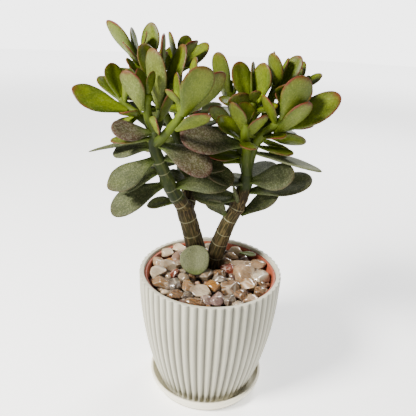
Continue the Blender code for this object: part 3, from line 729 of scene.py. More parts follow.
class Stone(Enum):
    """The sorts of pebble: base tint, banding and rust."""

    CREAM = ((0.56, 0.45, 0.31), 0.25, 0.10)
    BEIGE = ((0.26, 0.175, 0.100), 0.35, 0.15)
    CLEAR = ((0.38, 0.325, 0.235), 0.35, 0.05)
    ROSE = ((0.36, 0.225, 0.155), 0.10, 0.20)
    BRICK = ((0.17, 0.030, 0.015), 0.00, 0.50)
    BANDED = ((0.33, 0.240, 0.135), 1.00, 0.10)
    GREY = ((0.115, 0.098, 0.080), 0.10, 0.00)
    AMBER = ((0.32, 0.150, 0.032), 0.50, 0.35)
    BROWN = ((0.120, 0.078, 0.044), 0.60, 0.40)
    PLUM = ((0.165, 0.105, 0.095), 0.10, 0.10)


# Pebbles that lie on top: x, y, length, depth, turn in degrees, sort (millimetres).
TOP_PEBBLES = (
    (-46.5, 38.5, 16.1, 11.5, 5, Stone.CREAM), (-33.3, 48.4, 14.4, 13.8, 0, Stone.CREAM),
    (-54.0, 17.0, 13.2, 13.0, 0, Stone.BEIGE), (-43.5, 9.9, 15.5, 14.5, -10, Stone.CLEAR),
    (-33.8, 27.1, 12.6, 13.3, 0, Stone.ROSE), (-31.1, 12.5, 9.3, 10.0, 0, Stone.CLEAR),
    (-52.3, -4.8, 14.8, 14.5, 10, Stone.CLEAR), (-34.0, -5.7, 9.8, 9.4, 0, Stone.BRICK),
    (-45.3, -21.6, 19.1, 12.0, -35, Stone.BANDED), (-34.0, -24.7, 12.6, 11.8, -40, Stone.GREY),
    (-24.8, -14.1, 10.0, 9.5, 0, Stone.CLEAR), (-19.9, -26.7, 11.3, 15.0, 0, Stone.BANDED),
    (-3.4, -6.3, 12.3, 13.3, 0, Stone.CLEAR), (-8.7, -35.4, 18.8, 15.9, 20, Stone.CLEAR),
    (3.2, -27.1, 14.0, 12.6, 0, Stone.AMBER), (-31.4, -40.5, 13.9, 10.4, 0, Stone.BROWN),
    (-19.8, -43.3, 11.0, 9.5, 0, Stone.GREY), (-12.4, -52.1, 15.9, 8.4, 0, Stone.BROWN),
    (-3.2, -49.3, 9.6, 9.3, 0, Stone.PLUM), (7.2, -46.7, 13.2, 13.4, 0, Stone.PLUM),
    (18.2, -47.3, 10.1, 11.1, 0, Stone.GREY), (26.3, -51.5, 9.0, 8.0, 0, Stone.CLEAR),
    (17.9, -26.4, 17.2, 16.2, 0, Stone.BROWN), (9.0, -15.7, 11.6, 9.0, 0, Stone.GREY),
    (9.0, -4.2, 14.7, 9.6, 0, Stone.BROWN), (19.0, 7.0, 14.0, 15.2, 30, Stone.BRICK),
    (17.9, 21.2, 12.7, 12.0, 0, Stone.BEIGE), (22.3, 32.1, 12.7, 11.4, 0, Stone.BANDED),
    (27.4, 46.9, 16.4, 14.7, 10, Stone.CREAM), (15.0, 45.2, 8.5, 9.4, 0, Stone.GREY),
    (34.1, 18.5, 21.9, 10.2, 15, Stone.CREAM), (33.8, 0.7, 22.3, 18.6, 10, Stone.BEIGE),
    (49.0, 20.3, 15.1, 12.7, 0, Stone.BEIGE), (50.0, -3.5, 15.0, 21.0, -15, Stone.CLEAR),
    (38.3, -19.1, 14.5, 13.5, 0, Stone.BANDED), (28.6, -36.3, 10.6, 13.5, 0, Stone.BROWN),
    (38.2, -42.5, 12.0, 9.8, 0, Stone.BEIGE), (47.7, -29.5, 13.1, 10.4, -20, Stone.BROWN),
    (-2.9, 55.2, 10.8, 11.4, 0, Stone.CLEAR), (-6.8, 43.7, 9.7, 9.7, 0, Stone.CLEAR),
)


@dataclass
class Pebbles:
    """Tumbled stones heaped over the soil: placed ones on top and a scattered bed below."""

    reach: float = 60.8
    bed_level: float = 119.0
    top_level: float = 127.2
    crown: float = 2.2
    bed_count: int = 130
    bed_sizes: tuple[float, float] = (8.5, 13.0)
    facets: int = 11
    facet_depths: tuple[float, float] = (0.60, 0.86)
    edge_width: float = 0.045
    flatness: float = 0.93
    seed: int = 11
    trunks: tuple[tuple[float, float, float], ...] = ((-11.0, 15.0, 11.5), (5.5, 17.5, 10.5))
    layers: dict[str, Any] = field(default_factory=dict)

    def stone(self, bm: bmesh.types.BMesh, centre: Vector, size: Vector, turn: Matrix, kind: Stone,
              detail: int, rng: random.Random) -> None:
        """Adds one stone.

        Args:
            bm: The mesh to add to.
            centre: Its centre, in millimetres.
            size: Its length, depth and height, in millimetres.
            turn: Its rotation.
            kind: Its sort.
            detail: Subdivisions of the sphere it starts from.
            rng: The source of its shape.
        """
        made = bmesh.ops.create_icosphere(bm, subdivisions=detail, radius=1.0)["verts"]
        shift = Vector((rng.uniform(0, 9), rng.uniform(0, 9), rng.uniform(0, 9)))
        flats = [(Vector((rng.gauss(0, 1), rng.gauss(0, 1), rng.gauss(0, 0.8))).normalized(),
                  rng.uniform(*self.facet_depths)) for _ in range(self.facets)]
        tint, bands, rust = kind.value
        fade = rng.uniform(0.72, 1.12)
        for vert in made:
            point = vert.co.copy()
            point *= 1.0 + 0.16 * noise.noise(point * 0.9 + shift)
            second, first = sorted(point.dot(normal) - limit for normal, limit in flats)[-2:]
            worn = math.exp(-(((first - second) / self.edge_width) ** 2)) if first > 0.02 else 0.0
            for normal, limit in flats:
                over = point.dot(normal) - limit
                if over > 0.0:
                    point -= normal * over * self.flatness
            point = turn @ Vector((point.x * size.x, point.y * size.y, point.z * size.z)) * 0.65
            vert[self.layers["place"]] = (point + shift * 10.0) * MM
            vert[self.layers["tint"]] = (*[min(0.9, value * fade) for value in tint], 1.0)
            vert[self.layers["veins"]] = (bands, rust, worn)
            vert.co = (centre + point) * MM

    def free(self, x: float, y: float, radius: float) -> bool:
        """Whether a stone of that radius clears the trunks."""
        return all(math.hypot(x - tx, y - ty) > radius + keep - 1.0 for tx, ty, keep in self.trunks)

    def build(self, material: bpy.types.Material) -> bpy.types.Object:
        """Builds the heap."""
        rng = random.Random(self.seed)
        bm = bmesh.new()
        self.layers = {"place": bm.verts.layers.float_vector.new("place"),
                       "veins": bm.verts.layers.float_vector.new("veins"),
                       "tint": bm.verts.layers.float_color.new("tint")}
        for x, y, length, depth, turn, kind in TOP_PEBBLES:
            lean = Matrix.Rotation(rng.uniform(-0.35, 0.35), 3, "X")
            tilt = Matrix.Rotation(math.radians(turn), 3, "Z") @ lean
            height = 0.72 * min(length, depth)
            heap = self.crown * (1.0 - (math.hypot(x, y) / self.reach) ** 2)
            centre = Vector((x, y, self.top_level + heap - 0.18 * height + rng.uniform(-0.8, 0.8)))
            self.stone(bm, centre, Vector((length, depth, height)), tilt, kind, 4, rng)
        kinds = list(Stone)
        placed: list[tuple[float, float, float]] = []
        for _ in range(6000):
            if len(placed) >= self.bed_count:
                break
            size = rng.uniform(*self.bed_sizes)
            away = (self.reach - 0.5 * size) * math.sqrt(rng.random())
            turn = rng.uniform(0, FULL_TURN)
            x, y = away * math.cos(turn), away * math.sin(turn)
            if not self.free(x, y, 0.5 * size):
                continue
            if any(math.hypot(x - px, y - py) < 0.42 * (size + other) for px, py, other in placed):
                continue
            covered = any(math.hypot(x - row[0], y - row[1]) < 0.34 * (row[2] + size) for row in TOP_PEBBLES)
            level = self.bed_level + (0.0 if covered else 4.2) + rng.uniform(-1.2, 0.8)
            placed.append((x, y, size))
            spin = Matrix.Rotation(rng.uniform(0, FULL_TURN), 3, "Z")
            tilt = spin @ Matrix.Rotation(rng.uniform(-0.6, 0.6), 3, "Y")
            shape = Vector((size, size * rng.uniform(0.6, 0.95), size * rng.uniform(0.5, 0.75)))
            self.stone(bm, Vector((x, y, level)), shape, tilt, rng.choice(kinds), 2, rng)
        bmesh.ops.recalc_face_normals(bm, faces=bm.faces)
        return piece("agate_pebbles", bm, material, ["gravel"])


# ---------------------------------------------------------------- stems

@dataclass(frozen=True)
class StemRow:
    """A stem: route as (x, y, height above the rim), end radii, where bark turns green, and ring scars."""

    route: tuple[Point, ...]
    radii: tuple[float, float]
    green_from: float = 0.0
    scars: tuple[float, ...] = ()


STEMS: dict[str, StemRow] = {
    "left_trunk": StemRow(
        ((-3, 24, -44), (-6, 20, -17), (-15, 14, 13), (-22, 6, 44), (-27, 0, 64)), (11.0, 8.3), 200.0,
        (48.0, 63.0, 82.0, 101.0)),
    "left_front_branch": StemRow(
        ((-27, 0, 64), (-38, -8, 83), (-44, -14, 100), (-48, -18, 112), (-52, -20, 124), (-51, -22, 139)),
        (7.2, 4.8), 12.0, (6.0, 16.0, 27.0, 46.0, 57.0)),
    "left_rear_branch": StemRow(
        ((-25, 3, 58), (-23, 12, 68), (-26, 20, 76), (-30, 28, 90), (-33, 34, 113), (-36, 38, 138)),
        (6.6, 4.6), 36.0, (10.0, 22.0, 34.0)),
    "right_trunk": StemRow(
        ((3, 24, -44), (4, 20, -7), (6, 17, 11), (10, 14, 28), (17, 10, 50), (23, 8, 64), (28, 4, 86),
         (29, 1, 99)),
        (10.5, 5.4), 134.0, (50.0, 67.0, 80.0, 97.0, 112.0)),
    "far_left_shoot": StemRow(
        ((-52, -21, 134), (-58, -17, 145), (-67, -12, 151), (-76, -8, 156), (-82, -6, 162)), (4.2, 2.8)),
    "near_left_shoot": StemRow(
        ((-51, -22, 139), (-56, -25, 150), (-57, -28, 161), (-56, -29, 170)), (4.2, 2.8)),
    "mid_left_shoot": StemRow(((-51, -20, 138), (-49, -14, 150), (-48, -8, 162), (-48, -4, 174)), (4.0, 2.8)),
    "front_shoot": StemRow(
        ((-52, -20, 128), (-45, -30, 136), (-36, -40, 148), (-29, -46, 158), (-26, -48, 166)), (4.4, 2.8)),
    "rear_left_shoot": StemRow(
        ((-33, 34, 113), (-48, 30, 143), (-62, 24, 168), (-70, 20, 186), (-72, 19, 196)), (4.6, 2.8)),
    "rear_shoot": StemRow(((-36, 38, 138), (-38, 42, 168), (-38, 42, 186), (-38, 42, 196)), (4.6, 2.8)),
    "centre_shoot": StemRow(
        ((29, 1, 99), (27, -4, 114), (26, -10, 126), (23, -22, 136), (22, -30, 144), (22, -34, 151)),
        (5.2, 2.8)),
    "mid_right_shoot": StemRow(((27, -4, 114), (29, -2, 133), (30, -2, 150), (29, -2, 163)), (4.2, 2.8)),
    "rear_mid_shoot": StemRow(((28, 2, 100), (20, 10, 130), (14, 14, 153), (10, 16, 168), (9, 17, 178)),
                              (4.4, 2.8)),
    "right_shoot": StemRow(
        ((29, 1, 103), (33, -5, 126), (39, -10, 138), (47, -16, 147), (55, -20, 155), (58, -22, 162)),
        (4.8, 2.8)),
    "rear_right_shoot": StemRow(((34, -6, 128), (40, 2, 148), (45, 8, 164), (49, 10, 177), (50, 11, 186)),
                                (4.0, 2.8)),
    "far_right_shoot": StemRow(((36, -8, 134), (50, 10, 153), (64, 22, 168), (76, 28, 177), (81, 30, 183)),
                               (4.0, 2.8)),
}


def smooth_route(row: StemRow, step: float, fewest: int = 1) -> np.ndarray:
    """A stem's centre line: a smooth curve through its route.

    Args:
        row: The stem.
        step: Rough distance between points, in millimetres.
        fewest: Fewest points to each stretch of the route.

    Returns:
        The points, in millimetres.
    """
    points = np.array(row.route, float) + (0.0, 0.0, RIM_LEVEL)
    points = np.vstack([2 * points[0] - points[1], points, 2 * points[-1] - points[-2]])
    line = []
    for a, b, c, d in zip(points, points[1:], points[2:], points[3:]):
        count = max(fewest, round(float(np.linalg.norm(c - b)) / step))
        for t in np.arange(count) / count:
            line.append(0.5 * (2 * b + (c - a) * t + (2 * a - 5 * b + 4 * c - d) * t**2
                               + (3 * b - a - 3 * c + d) * t**3))
    return np.array([*line, points[-2]])


def lengths_along(line: np.ndarray) -> np.ndarray:
    """Distance from a line's start to each of its points."""
    return np.concatenate([[0.0], np.cumsum(np.linalg.norm(np.diff(line, axis=0), axis=1))])


def point_at(line: np.ndarray, where: float) -> np.ndarray:
    """The point at a distance from a line's start."""
    lengths = lengths_along(line)
    where = min(max(where, 0.0), lengths[-1])
    return np.array([np.interp(where, lengths, line[:, axis]) for axis in range(3)])


def unit(vector: np.ndarray) -> np.ndarray:
    """A vector of length 1."""
    return vector / np.linalg.norm(vector)


# ---------------------------------------------------------------- leaves

class Mood(Enum):
    """How a leaf looks: age with dust, red or plum blush, and paleness."""

    FRESH = (0.0, 0.75, 0.0)
    BRIGHT = (0.0, 0.95, 0.05)
    PALE = (0.12, 0.80, 0.62)
    DEEP = (0.18, 0.45, 0.0)
    DUSTY = (0.92, 0.35, 0.10)
    MIXED = (0.55, 0.55, 0.20)
    PLUM = (0.85, 1.75, 0.0)
    FROSTED = (1.0, 0.25, 1.0)


@dataclass(frozen=True)
class Leaf:
    """A leaf as chosen: where on its stem, heading from +X, rise, length, width, roll, bend and mood."""

    along: float
    heading: float
    rise: float
    length: float
    width: float
    roll: float = 0.0
    bend: float = 8.0
    mood: Mood = Mood.FRESH


# Leaves with a CAD node of their own.
SINGLE_LEAVES: dict[str, tuple[Leaf, ...]] = {
    "left_front_branch": (
        Leaf(9, 155, -15, 36, 20, -20, -5, Mood.MIXED),
        Leaf(27, 355, 15, 58, 32, 35, 5, Mood.DUSTY),
        Leaf(33, 195, -25, 58, 31, -30, -10, Mood.DUSTY),
        Leaf(46, 165, -25, 49, 28, -38, -10, Mood.DUSTY),
        Leaf(57, 5, -10, 57, 30, 20, -10, Mood.DUSTY),
        Leaf(60, 200, -25, 50, 29, -32, -10, Mood.DUSTY),
        Leaf(69, 160, -10, 43, 26, -42, -5, Mood.DUSTY),
        Leaf(73, 338, -20, 54, 31, 20, -10, Mood.PLUM),
        Leaf(78, 195, -5, 37, 20, 0, 0, Mood.PALE),
        Leaf(87, 205, 5, 38, 24, -25, 0, Mood.PLUM),
    ),
    "far_left_shoot": (
        Leaf(25, 210, -25, 24, 22, -5, -10),
        Leaf(36, 195, 20, 47, 25, -40, 5, Mood.BRIGHT),
    ),
    "near_left_shoot": (
        Leaf(24, 225, 55, 34, 22, 10, 8, Mood.PALE),
    ),
    "mid_left_shoot": (
        Leaf(22, 245, 75, 49, 26, -15, 8, Mood.PALE),
        Leaf(25, 5, 70, 51, 25, 30, 8, Mood.BRIGHT),
    ),
    "front_shoot": (
        Leaf(36, 330, 20, 34, 18, -25, 15),
        Leaf(43, 15, 50, 49, 26, -50, 8, Mood.PALE),
        Leaf(52, 320, 60, 39, 26, -20),
    ),
    "rear_left_shoot": (
        Leaf(84, 50, 75, 38, 21, 10),
    ),
    "right_trunk": (
        Leaf(100, 205, 35, 33, 18, 45, 8, Mood.DUSTY),
        Leaf(109, 350, 30, 45, 25, 25, 8, Mood.DUSTY),
        Leaf(132, 355, 15, 63, 31, 20, 8, Mood.DUSTY),
        Leaf(144, 335, 20, 46, 27, 45, 5, Mood.DUSTY),
    ),
    "centre_shoot": (
        Leaf(38, 195, 10, 57, 32, -35, 5, Mood.PLUM),
        Leaf(49, 315, 55, 28, 19, -10),
        Leaf(55, 230, 65, 30, 19, -5),
    ),
    "mid_right_shoot": (
        Leaf(50, 20, 80, 34, 20, 25, 8, Mood.BRIGHT),
        Leaf(55, 150, 70, 36, 20, -25, 8, Mood.BRIGHT),
    ),
    "right_shoot": (
        Leaf(19, 355, -15, 64, 30, 5, -10, Mood.FROSTED),
        Leaf(29, 335, -5, 34, 19, 0, 0, Mood.DEEP),
        Leaf(42, 5, -15, 38, 22, -45, -10),
        Leaf(49, 0, 25, 62, 30, 25, 8, Mood.BRIGHT),
        Leaf(52, 330, 38, 38, 22, -30, 8, Mood.BRIGHT),
        Leaf(66, 305, 62, 37, 27, -30, 8, Mood.BRIGHT),
    ),
    "rear_right_shoot": (
        Leaf(46, 350, 65, 38, 20, 45),
    ),
}

# Leaves that their stem's CAD node holds.
SHOOT_LEAVES: dict[str, tuple[Leaf, ...]] = {
    "left_front_branch": (
        Leaf(36, 60, 0, 23, 16, 35, 0, Mood.DUSTY),
        Leaf(78, 160, -20, 67, 14, -5, -5, Mood.DUSTY),
    ),
    "left_rear_branch": (
        Leaf(38, 100, -10, 40, 21, 0, -8, Mood.DUSTY),
        Leaf(50, 20, 5, 42, 22, 0, -8, Mood.DUSTY),
        Leaf(52, 195, -10, 40, 22, 0, -8, Mood.DUSTY),
        Leaf(64, 110, 0, 44, 23, 0, -5, Mood.DUSTY),
        Leaf(80, 15, 15, 42, 22, 0, 0, Mood.MIXED),
        Leaf(46, 335, 0, 44, 24, 20, -5, Mood.DUSTY),
        Leaf(61, 300, 5, 44, 25, 15, -5, Mood.DUSTY),
        Leaf(72, 345, 10, 46, 25, 30, 0, Mood.MIXED),
        Leaf(74, 200, 0, 42, 24, -20, 0, Mood.MIXED),
        Leaf(84, 190, 20, 38, 22, -20, 0, Mood.MIXED),
    ),
    "far_left_shoot": (
        Leaf(18, 95, 0, 36, 21, 0, 0),
        Leaf(23, 240, 0, 24, 16, 30, -10),
        Leaf(40, 290, 80, 30, 20, -80),
        Leaf(41, 145, 30, 38, 21),
        Leaf(44, 120, 70, 33, 20, 15),
    ),
    "near_left_shoot": (
        Leaf(13, 300, -15, 22, 15, -80, -10),
        Leaf(30, 150, 70, 24, 18, 5),
        Leaf(32, 330, 75, 20, 12),
    ),
    "mid_left_shoot": (
        Leaf(8, 320, 55, 35, 19, 15),
        Leaf(30, 145, 70, 46, 23, -10),
        Leaf(37, 95, 75, 45, 22, 85),
    ),
    "front_shoot": (
        Leaf(46, 100, 80, 33, 17, -85),
        Leaf(54, 45, 60, 37, 20, -10),
        Leaf(54, 215, 70, 20, 12),
    ),
    "rear_left_shoot": (
        Leaf(40, 210, 5, 36, 22, -20, 0),
        Leaf(42, 20, 5, 38, 22, 20, 0),
        Leaf(52, 200, 0, 36, 21, 0, 0),
        Leaf(58, 60, 15, 40, 22, 0, 0),
        Leaf(68, 330, 25, 36, 22, 20, 5),
        Leaf(66, 130, 25, 40, 22, 0, 5),
        Leaf(75, 205, 40, 22, 16, -30, 0),
        Leaf(77, 340, 35, 30, 18),
        Leaf(80, 165, 15, 32, 20, 45, 5),
        Leaf(85, 235, 60, 32, 18, -25),
        Leaf(88, 180, 60, 42, 22, 20),
        Leaf(90, 110, 65, 36, 22, 30),
        Leaf(91, 20, 80, 24, 12),
    ),
    "rear_shoot": (
        Leaf(6, 345, 10, 42, 24, 20, 0),
        Leaf(20, 280, 25, 38, 23, 20, 5),
        Leaf(14, 195, 15, 40, 22, 0, 5),
        Leaf(16, 75, 20, 42, 23, 0, 5),
        Leaf(30, 335, 20, 40, 22, 0, 5),
        Leaf(32, 120, 35, 38, 21),
        Leaf(40, 215, 60, 29, 18, -50),
        Leaf(44, 15, 50, 38, 24, 25),
        Leaf(48, 155, 70, 32, 18, 60),
        Leaf(50, 315, 70, 31, 20, 10),
        Leaf(54, 80, 70, 26, 14, 40),
    ),
    "right_trunk": (
        Leaf(113, 245, 60, 27, 16, -45, 5, Mood.DUSTY),
        Leaf(112, 125, -5, 40, 23, 0, -5, Mood.DUSTY),
        Leaf(122, 175, 0, 46, 26, -25, 0, Mood.DUSTY),
        Leaf(129, 95, 5, 44, 24, 0, 0, Mood.DUSTY),
        Leaf(138, 205, 10, 42, 25, -30, 0, Mood.DUSTY),
        Leaf(141, 40, 5, 44, 24, 20, 0, Mood.DUSTY),
    ),
    "centre_shoot": (
        Leaf(42, 120, 20, 34, 20, 0, 5),
        Leaf(44, 280, -5, 22, 16, -10, 5),
        Leaf(54, 90, 75, 30, 20, 25),
        Leaf(60, 10, 75, 16, 10),
    ),
    "mid_right_shoot": (
        Leaf(26, 30, 15, 36, 22, 15, 0),
        Leaf(34, 110, 15, 38, 22, 0, 0),
        Leaf(42, 155, 20, 32, 18, 0, 5),
        Leaf(43, 320, 20, 22, 17, 0, 5),
        Leaf(47, 75, 55, 34, 20, 0, 5),
        Leaf(61, 85, 70, 35, 16, 80),
        Leaf(62, 270, 75, 16, 10),
    ),
    "rear_mid_shoot": (
        Leaf(10, 185, 5, 46, 26, -25, 0),
        Leaf(16, 240, 10, 42, 25, -20, 0),
        Leaf(20, 120, 5, 44, 24, 0, 0),
        Leaf(29, 195, 15, 38, 21, 30, 0),
        Leaf(31, 50, 10, 42, 22, 0, 0),
        Leaf(40, 165, 20, 32, 23, 60, 5),
        Leaf(44, 105, 20, 42, 22, 0, 5),
        Leaf(50, 300, 30, 34, 22, 10, 5),
        Leaf(57, 14, 44, 34, 20),
        Leaf(62, 130, 50, 30, 18, 60),
        Leaf(66, 52, 70, 30, 18, -45),
        Leaf(70, 210, 75, 39, 20, 15),
    ),
    "right_shoot": (
        Leaf(34, 45, -25, 34, 20, 20, -5),
        Leaf(36, 120, 0, 36, 21, 0, 0),
        Leaf(38, 320, 5, 26, 18, 5, 0),
        Leaf(54, 235, 55, 34, 18, -25),
        Leaf(60, 50, 65, 36, 22),
        Leaf(68, 160, 65, 20, 12),
    ),
    "rear_right_shoot": (
        Leaf(20, 20, 10, 38, 23, 20, 0),
        Leaf(30, 100, 25, 38, 21, 0, 5),
        Leaf(36, 150, 30, 28, 19, 0, 5),
        Leaf(44, 290, 50, 32, 20, 0, 5),
        Leaf(49, 65, 55, 37, 21, -60),
        Leaf(52, 215, 70, 38, 19, -20),
        Leaf(53, 120, 60, 32, 20, 45),
        Leaf(56, 20, 80, 24, 14),
    ),
    "far_right_shoot": (
        Leaf(22, 330, 0, 38, 23, 25, 0),
        Leaf(30, 350, 20, 36, 22, 25, 0),
        Leaf(36, 95, 10, 40, 21, 0, 5),
        Leaf(42, 300, 35, 34, 22, 10, 5),
        Leaf(46, 10, 10, 43, 24, 20, 5),
        Leaf(52, 110, 40, 32, 20),
        Leaf(58, 160, 70, 26, 14, 60),
        Leaf(61, 65, 50, 28, 18, -40),
        Leaf(64, 345, 45, 23, 18, 30),
    ),
}

# Loose leaves on the pebbles: base and tip as (x, y, height above the rim), width, up direction and mood.
LOOSE_LEAVES = {
    "round_loose_leaf": ((-13.6, -10, -3.0), (-15, -1, 25.0), 29.0, (0.0, -1.0, 0.3), Mood.FROSTED),
    "small_loose_leaf": ((31, 37, -1.5), (49, 35.5, -2.5), 9.0, (0.0, -0.3, 1.0), Mood.PALE),
}


@dataclass(frozen=True)
class LeafShape:
    """The shape all leaves share: a narrow petiole, a broad end and a fleshy section."""

    petiole: float = 0.26
    widest: float = 0.62
    slender: float = 0.19
    thickest: float = 4.4
    around: int = 28
    along: int = 20

    def outline(self, t: float, point: float) -> float:
        """Half-width along the leaf as a share of the widest.

        Args:
            t: Place along the leaf from 0 to 1.
            point: How pointed the tip is, from 0 to 1.

        Returns:
            The share.
        """
        if t < self.widest:
            return self.petiole + (1.0 - self.petiole) * math.sin(0.5 * math.pi * (t / self.widest) ** 1.5)
        sharp = 1.0 - point * 0.38 * max(0.0, (t - 0.78) / 0.22) ** 1.2
        return max(0.0, 1.0 - ((t - self.widest) / (1.0 - self.widest)) ** 2.3) ** 0.5 * sharp


class Blade:
    """A leaf in place, in millimetres: its base point and its along, across and up directions."""

    def __init__(self, node: str, base: np.ndarray, tip: np.ndarray, up: np.ndarray, width: float,
                 bend: float = 5.0, mood: Mood = Mood.FRESH, stem: str = "", limit: float = 0.0) -> None:
        """Places a leaf.

        Args:
            node: Its CAD node.
            base: Where it starts.
            tip: Where it ends.
            up: Roughly which way its upper side faces.
            width: Its greatest width.
            bend: How far it curves, in degrees.
            mood: Its looks.
            stem: The stem that it grows on.
            limit: How far it may be turned from where it was placed, in degrees.
        """
        self.node = node
        self.base = np.array(base, float)
        along = np.array(tip, float) - self.base
        self.length = float(np.linalg.norm(along))
        self.home = along / self.length
        up = unit(up - self.home * np.dot(up, self.home))
        self.turn = np.stack([self.home, np.cross(up, self.home), up], axis=1)
        self.width = width
        self.sag = math.radians(bend) * self.length / 2.0
        self.mood = mood
        self.stem = stem
        self.limit = limit
        self.thickness = 0.0
        self.samples = np.zeros((0, 3))

    def measure(self, shape: "LeafShape", thickest: float) -> None:
        """Notes the leaf's thickness and a net of points on it, by which crowding is found."""
        self.thickness = min(thickest, shape.slender * self.width)
        shares = (-0.85, -0.43, 0.0, 0.43, 0.85)
        self.samples = np.array([
            (t * self.length, share * 0.5 * self.width * shape.outline(t, 0.0), -self.sag * t * (1.0 - t))
            for t in np.linspace(0.22, 0.98, 8) for share in shares])

    def cloud(self) -> np.ndarray:
        """The net of points in place."""
        return self.base + self.samples @ self.turn.T

    def rotate(self, vector: np.ndarray) -> None:
        """Turns the leaf about its base by a small rotation vector, within its limit."""
        angle = float(np.linalg.norm(vector))
        if angle < 1e-9:
            return
        x, y, z = vector / angle
        skew = np.array([[0, -z, y], [z, 0, -x], [-y, x, 0]])
        spin = np.eye(3) + math.sin(angle) * skew + (1.0 - math.cos(angle)) * skew @ skew
        if np.dot(spin @ self.turn[:, 0], self.home) > math.cos(math.radians(self.limit)):
            self.turn = spin @ self.turn

    def push(self, points: np.ndarray, others: np.ndarray, reach: float) -> np.ndarray:
        """The rotation that turns this leaf's points away from others that are nearer than reach."""
        gaps = points[:, None, :] - others[None, :, :]
        distances = np.linalg.norm(gaps, axis=2)
        close = distances < reach
        if not close.any():
            return np.zeros(3)
        depth = np.where(close, reach - distances, 0.0)
        shove = (gaps / np.maximum(distances, 1e-6)[:, :, None] * depth[:, :, None]).sum(axis=1)
        arm = points - self.base
        turn = np.cross(arm, shove) / np.maximum((arm**2).sum(axis=1), 1.0)[:, None]
        return turn.sum(axis=0) / close.sum()


@dataclass
class Crown:
    """Grows every leaf on its stem, and turns crowded leaves about their bases as the CAD leaves are."""

    shape: LeafShape
    thickest: float = 4.2
    gap: float = 0.8
    clearance: float = 0.3
    rounds: int = 120
    stem_step: float = 13.0
    post_step: float = 0.06
    own_stem_reach: float = 14.0
    single_turn: tuple[float, float] = (7.0, 0.3)
    joined_turn: tuple[float, float] = (28.0, 0.7)

    def grow(self, node: str, stem_name: str, leaf: Leaf) -> Blade:
        """Places a leaf: one that its stem's node holds starts on the centre line, others at the surface."""
        stem = STEMS[stem_name]
        line = smooth_route(stem, self.stem_step)
        total = lengths_along(line)[-1]
        where = min(leaf.along, total)
        centre = point_at(line, where)
        stem_way = unit(point_at(line, where + 1.0) - point_at(line, where - 1.0))
        heading, rise, roll = (math.radians(angle) for angle in (leaf.heading, leaf.rise, leaf.roll))
        level, climb = math.cos(rise), math.sin(rise)
        way = np.array([level * math.cos(heading), level * math.sin(heading), climb])
        up = np.array([-climb * math.cos(heading), -climb * math.sin(heading), level])
        up = up * math.cos(roll) + np.cross(way, up) * math.sin(roll)
        joined = node == stem_name
        base = centre
        if not joined:
            radius = stem.radii[0] + (stem.radii[1] - stem.radii[0]) * where / total
            outward = unit(way - stem_way * np.dot(way, stem_way))
            base = centre + outward * (radius + self.clearance + 0.4 * self.thickest)
        limit = (self.joined_turn if joined else self.single_turn)[0]
        tip = centre + way * leaf.length
        return Blade(node, base, tip, up, leaf.width, leaf.bend, leaf.mood, stem_name, limit)

    def posts(self) -> tuple[list[str], np.ndarray, np.ndarray]:
        """Beads along every stem: their stems, centres and radii."""
        names, centres, radii = [], [], []
        for name, stem in STEMS.items():
            line = smooth_route(stem, self.stem_step)
            total = lengths_along(line)[-1]
            for share in np.arange(0.0, 1.01, self.post_step):
                names.append(name)
                centres.append(point_at(line, share * total))
                radii.append(stem.radii[0] + (stem.radii[1] - stem.radii[0]) * share)
        return names, np.array(centres), np.array(radii)

    def settle(self, blades: list[Blade]) -> None:
        """Turns crowded leaves until they clear each other and the stems."""
        names, centres, radii = self.posts()
        thick = np.array([blade.thickness for blade in blades])
        for _ in range(self.rounds):
            clouds = [blade.cloud() for blade in blades]
            middles = np.array([cloud.mean(axis=0) for cloud in clouds])
            sizes = np.array([np.linalg.norm(cloud - middle, axis=1).max()
                              for cloud, middle in zip(clouds, middles)])
            turns = [np.zeros(3) for _ in blades]
            for i, blade in enumerate(blades):
                reaches = 0.5 * (thick[i] + thick) + self.gap
                near = np.linalg.norm(middles - middles[i], axis=1) <= sizes[i] + sizes + reaches
                for j in np.flatnonzero(near):
                    if j > i:
                        turns[i] += blade.push(clouds[i], clouds[j], reaches[j])
                        turns[j] += blades[j].push(clouds[j], clouds[i], reaches[j])
                near = np.linalg.norm(centres - middles[i], axis=1) <= sizes[i] + radii + blade.thickness
                for k in np.flatnonzero(near):
                    away = np.linalg.norm(centres[k] - blade.base)
                    if names[k] == blade.stem and away < self.own_stem_reach:
                        continue
                    reach = radii[k] + 0.5 * blade.thickness + self.gap
                    turns[i] += blade.push(clouds[i], centres[k][None, :], reach)
            if max(float(np.linalg.norm(turn)) for turn in turns) < 1e-4:
                break
            for blade, turn in zip(blades, turns):
                blade.rotate(turn * (self.joined_turn if blade.node == blade.stem else self.single_turn)[1])

    def leaves(self) -> list[Blade]:
        """Every leaf in its settled place, then the loose ones."""
        blades = []
        for stem_name, group in SINGLE_LEAVES.items():
            base_name = stem_name.removesuffix("_shoot").removesuffix("_branch")
            blades += [self.grow(f"{base_name}_leaf_{k}", stem_name, leaf) for k, leaf in enumerate(group, 1)]
        for stem_name, group in SHOOT_LEAVES.items():
            blades += [self.grow(stem_name, stem_name, leaf) for leaf in group]
        for blade in blades:
            blade.measure(self.shape, self.thickest)
        self.settle(blades)
        lift = np.array([0.0, 0.0, RIM_LEVEL])
        for node, (base, tip, width, up, mood) in LOOSE_LEAVES.items():
            blades.append(Blade(node, base + lift, tip + lift, np.array(up), width, mood=mood))
        return blades


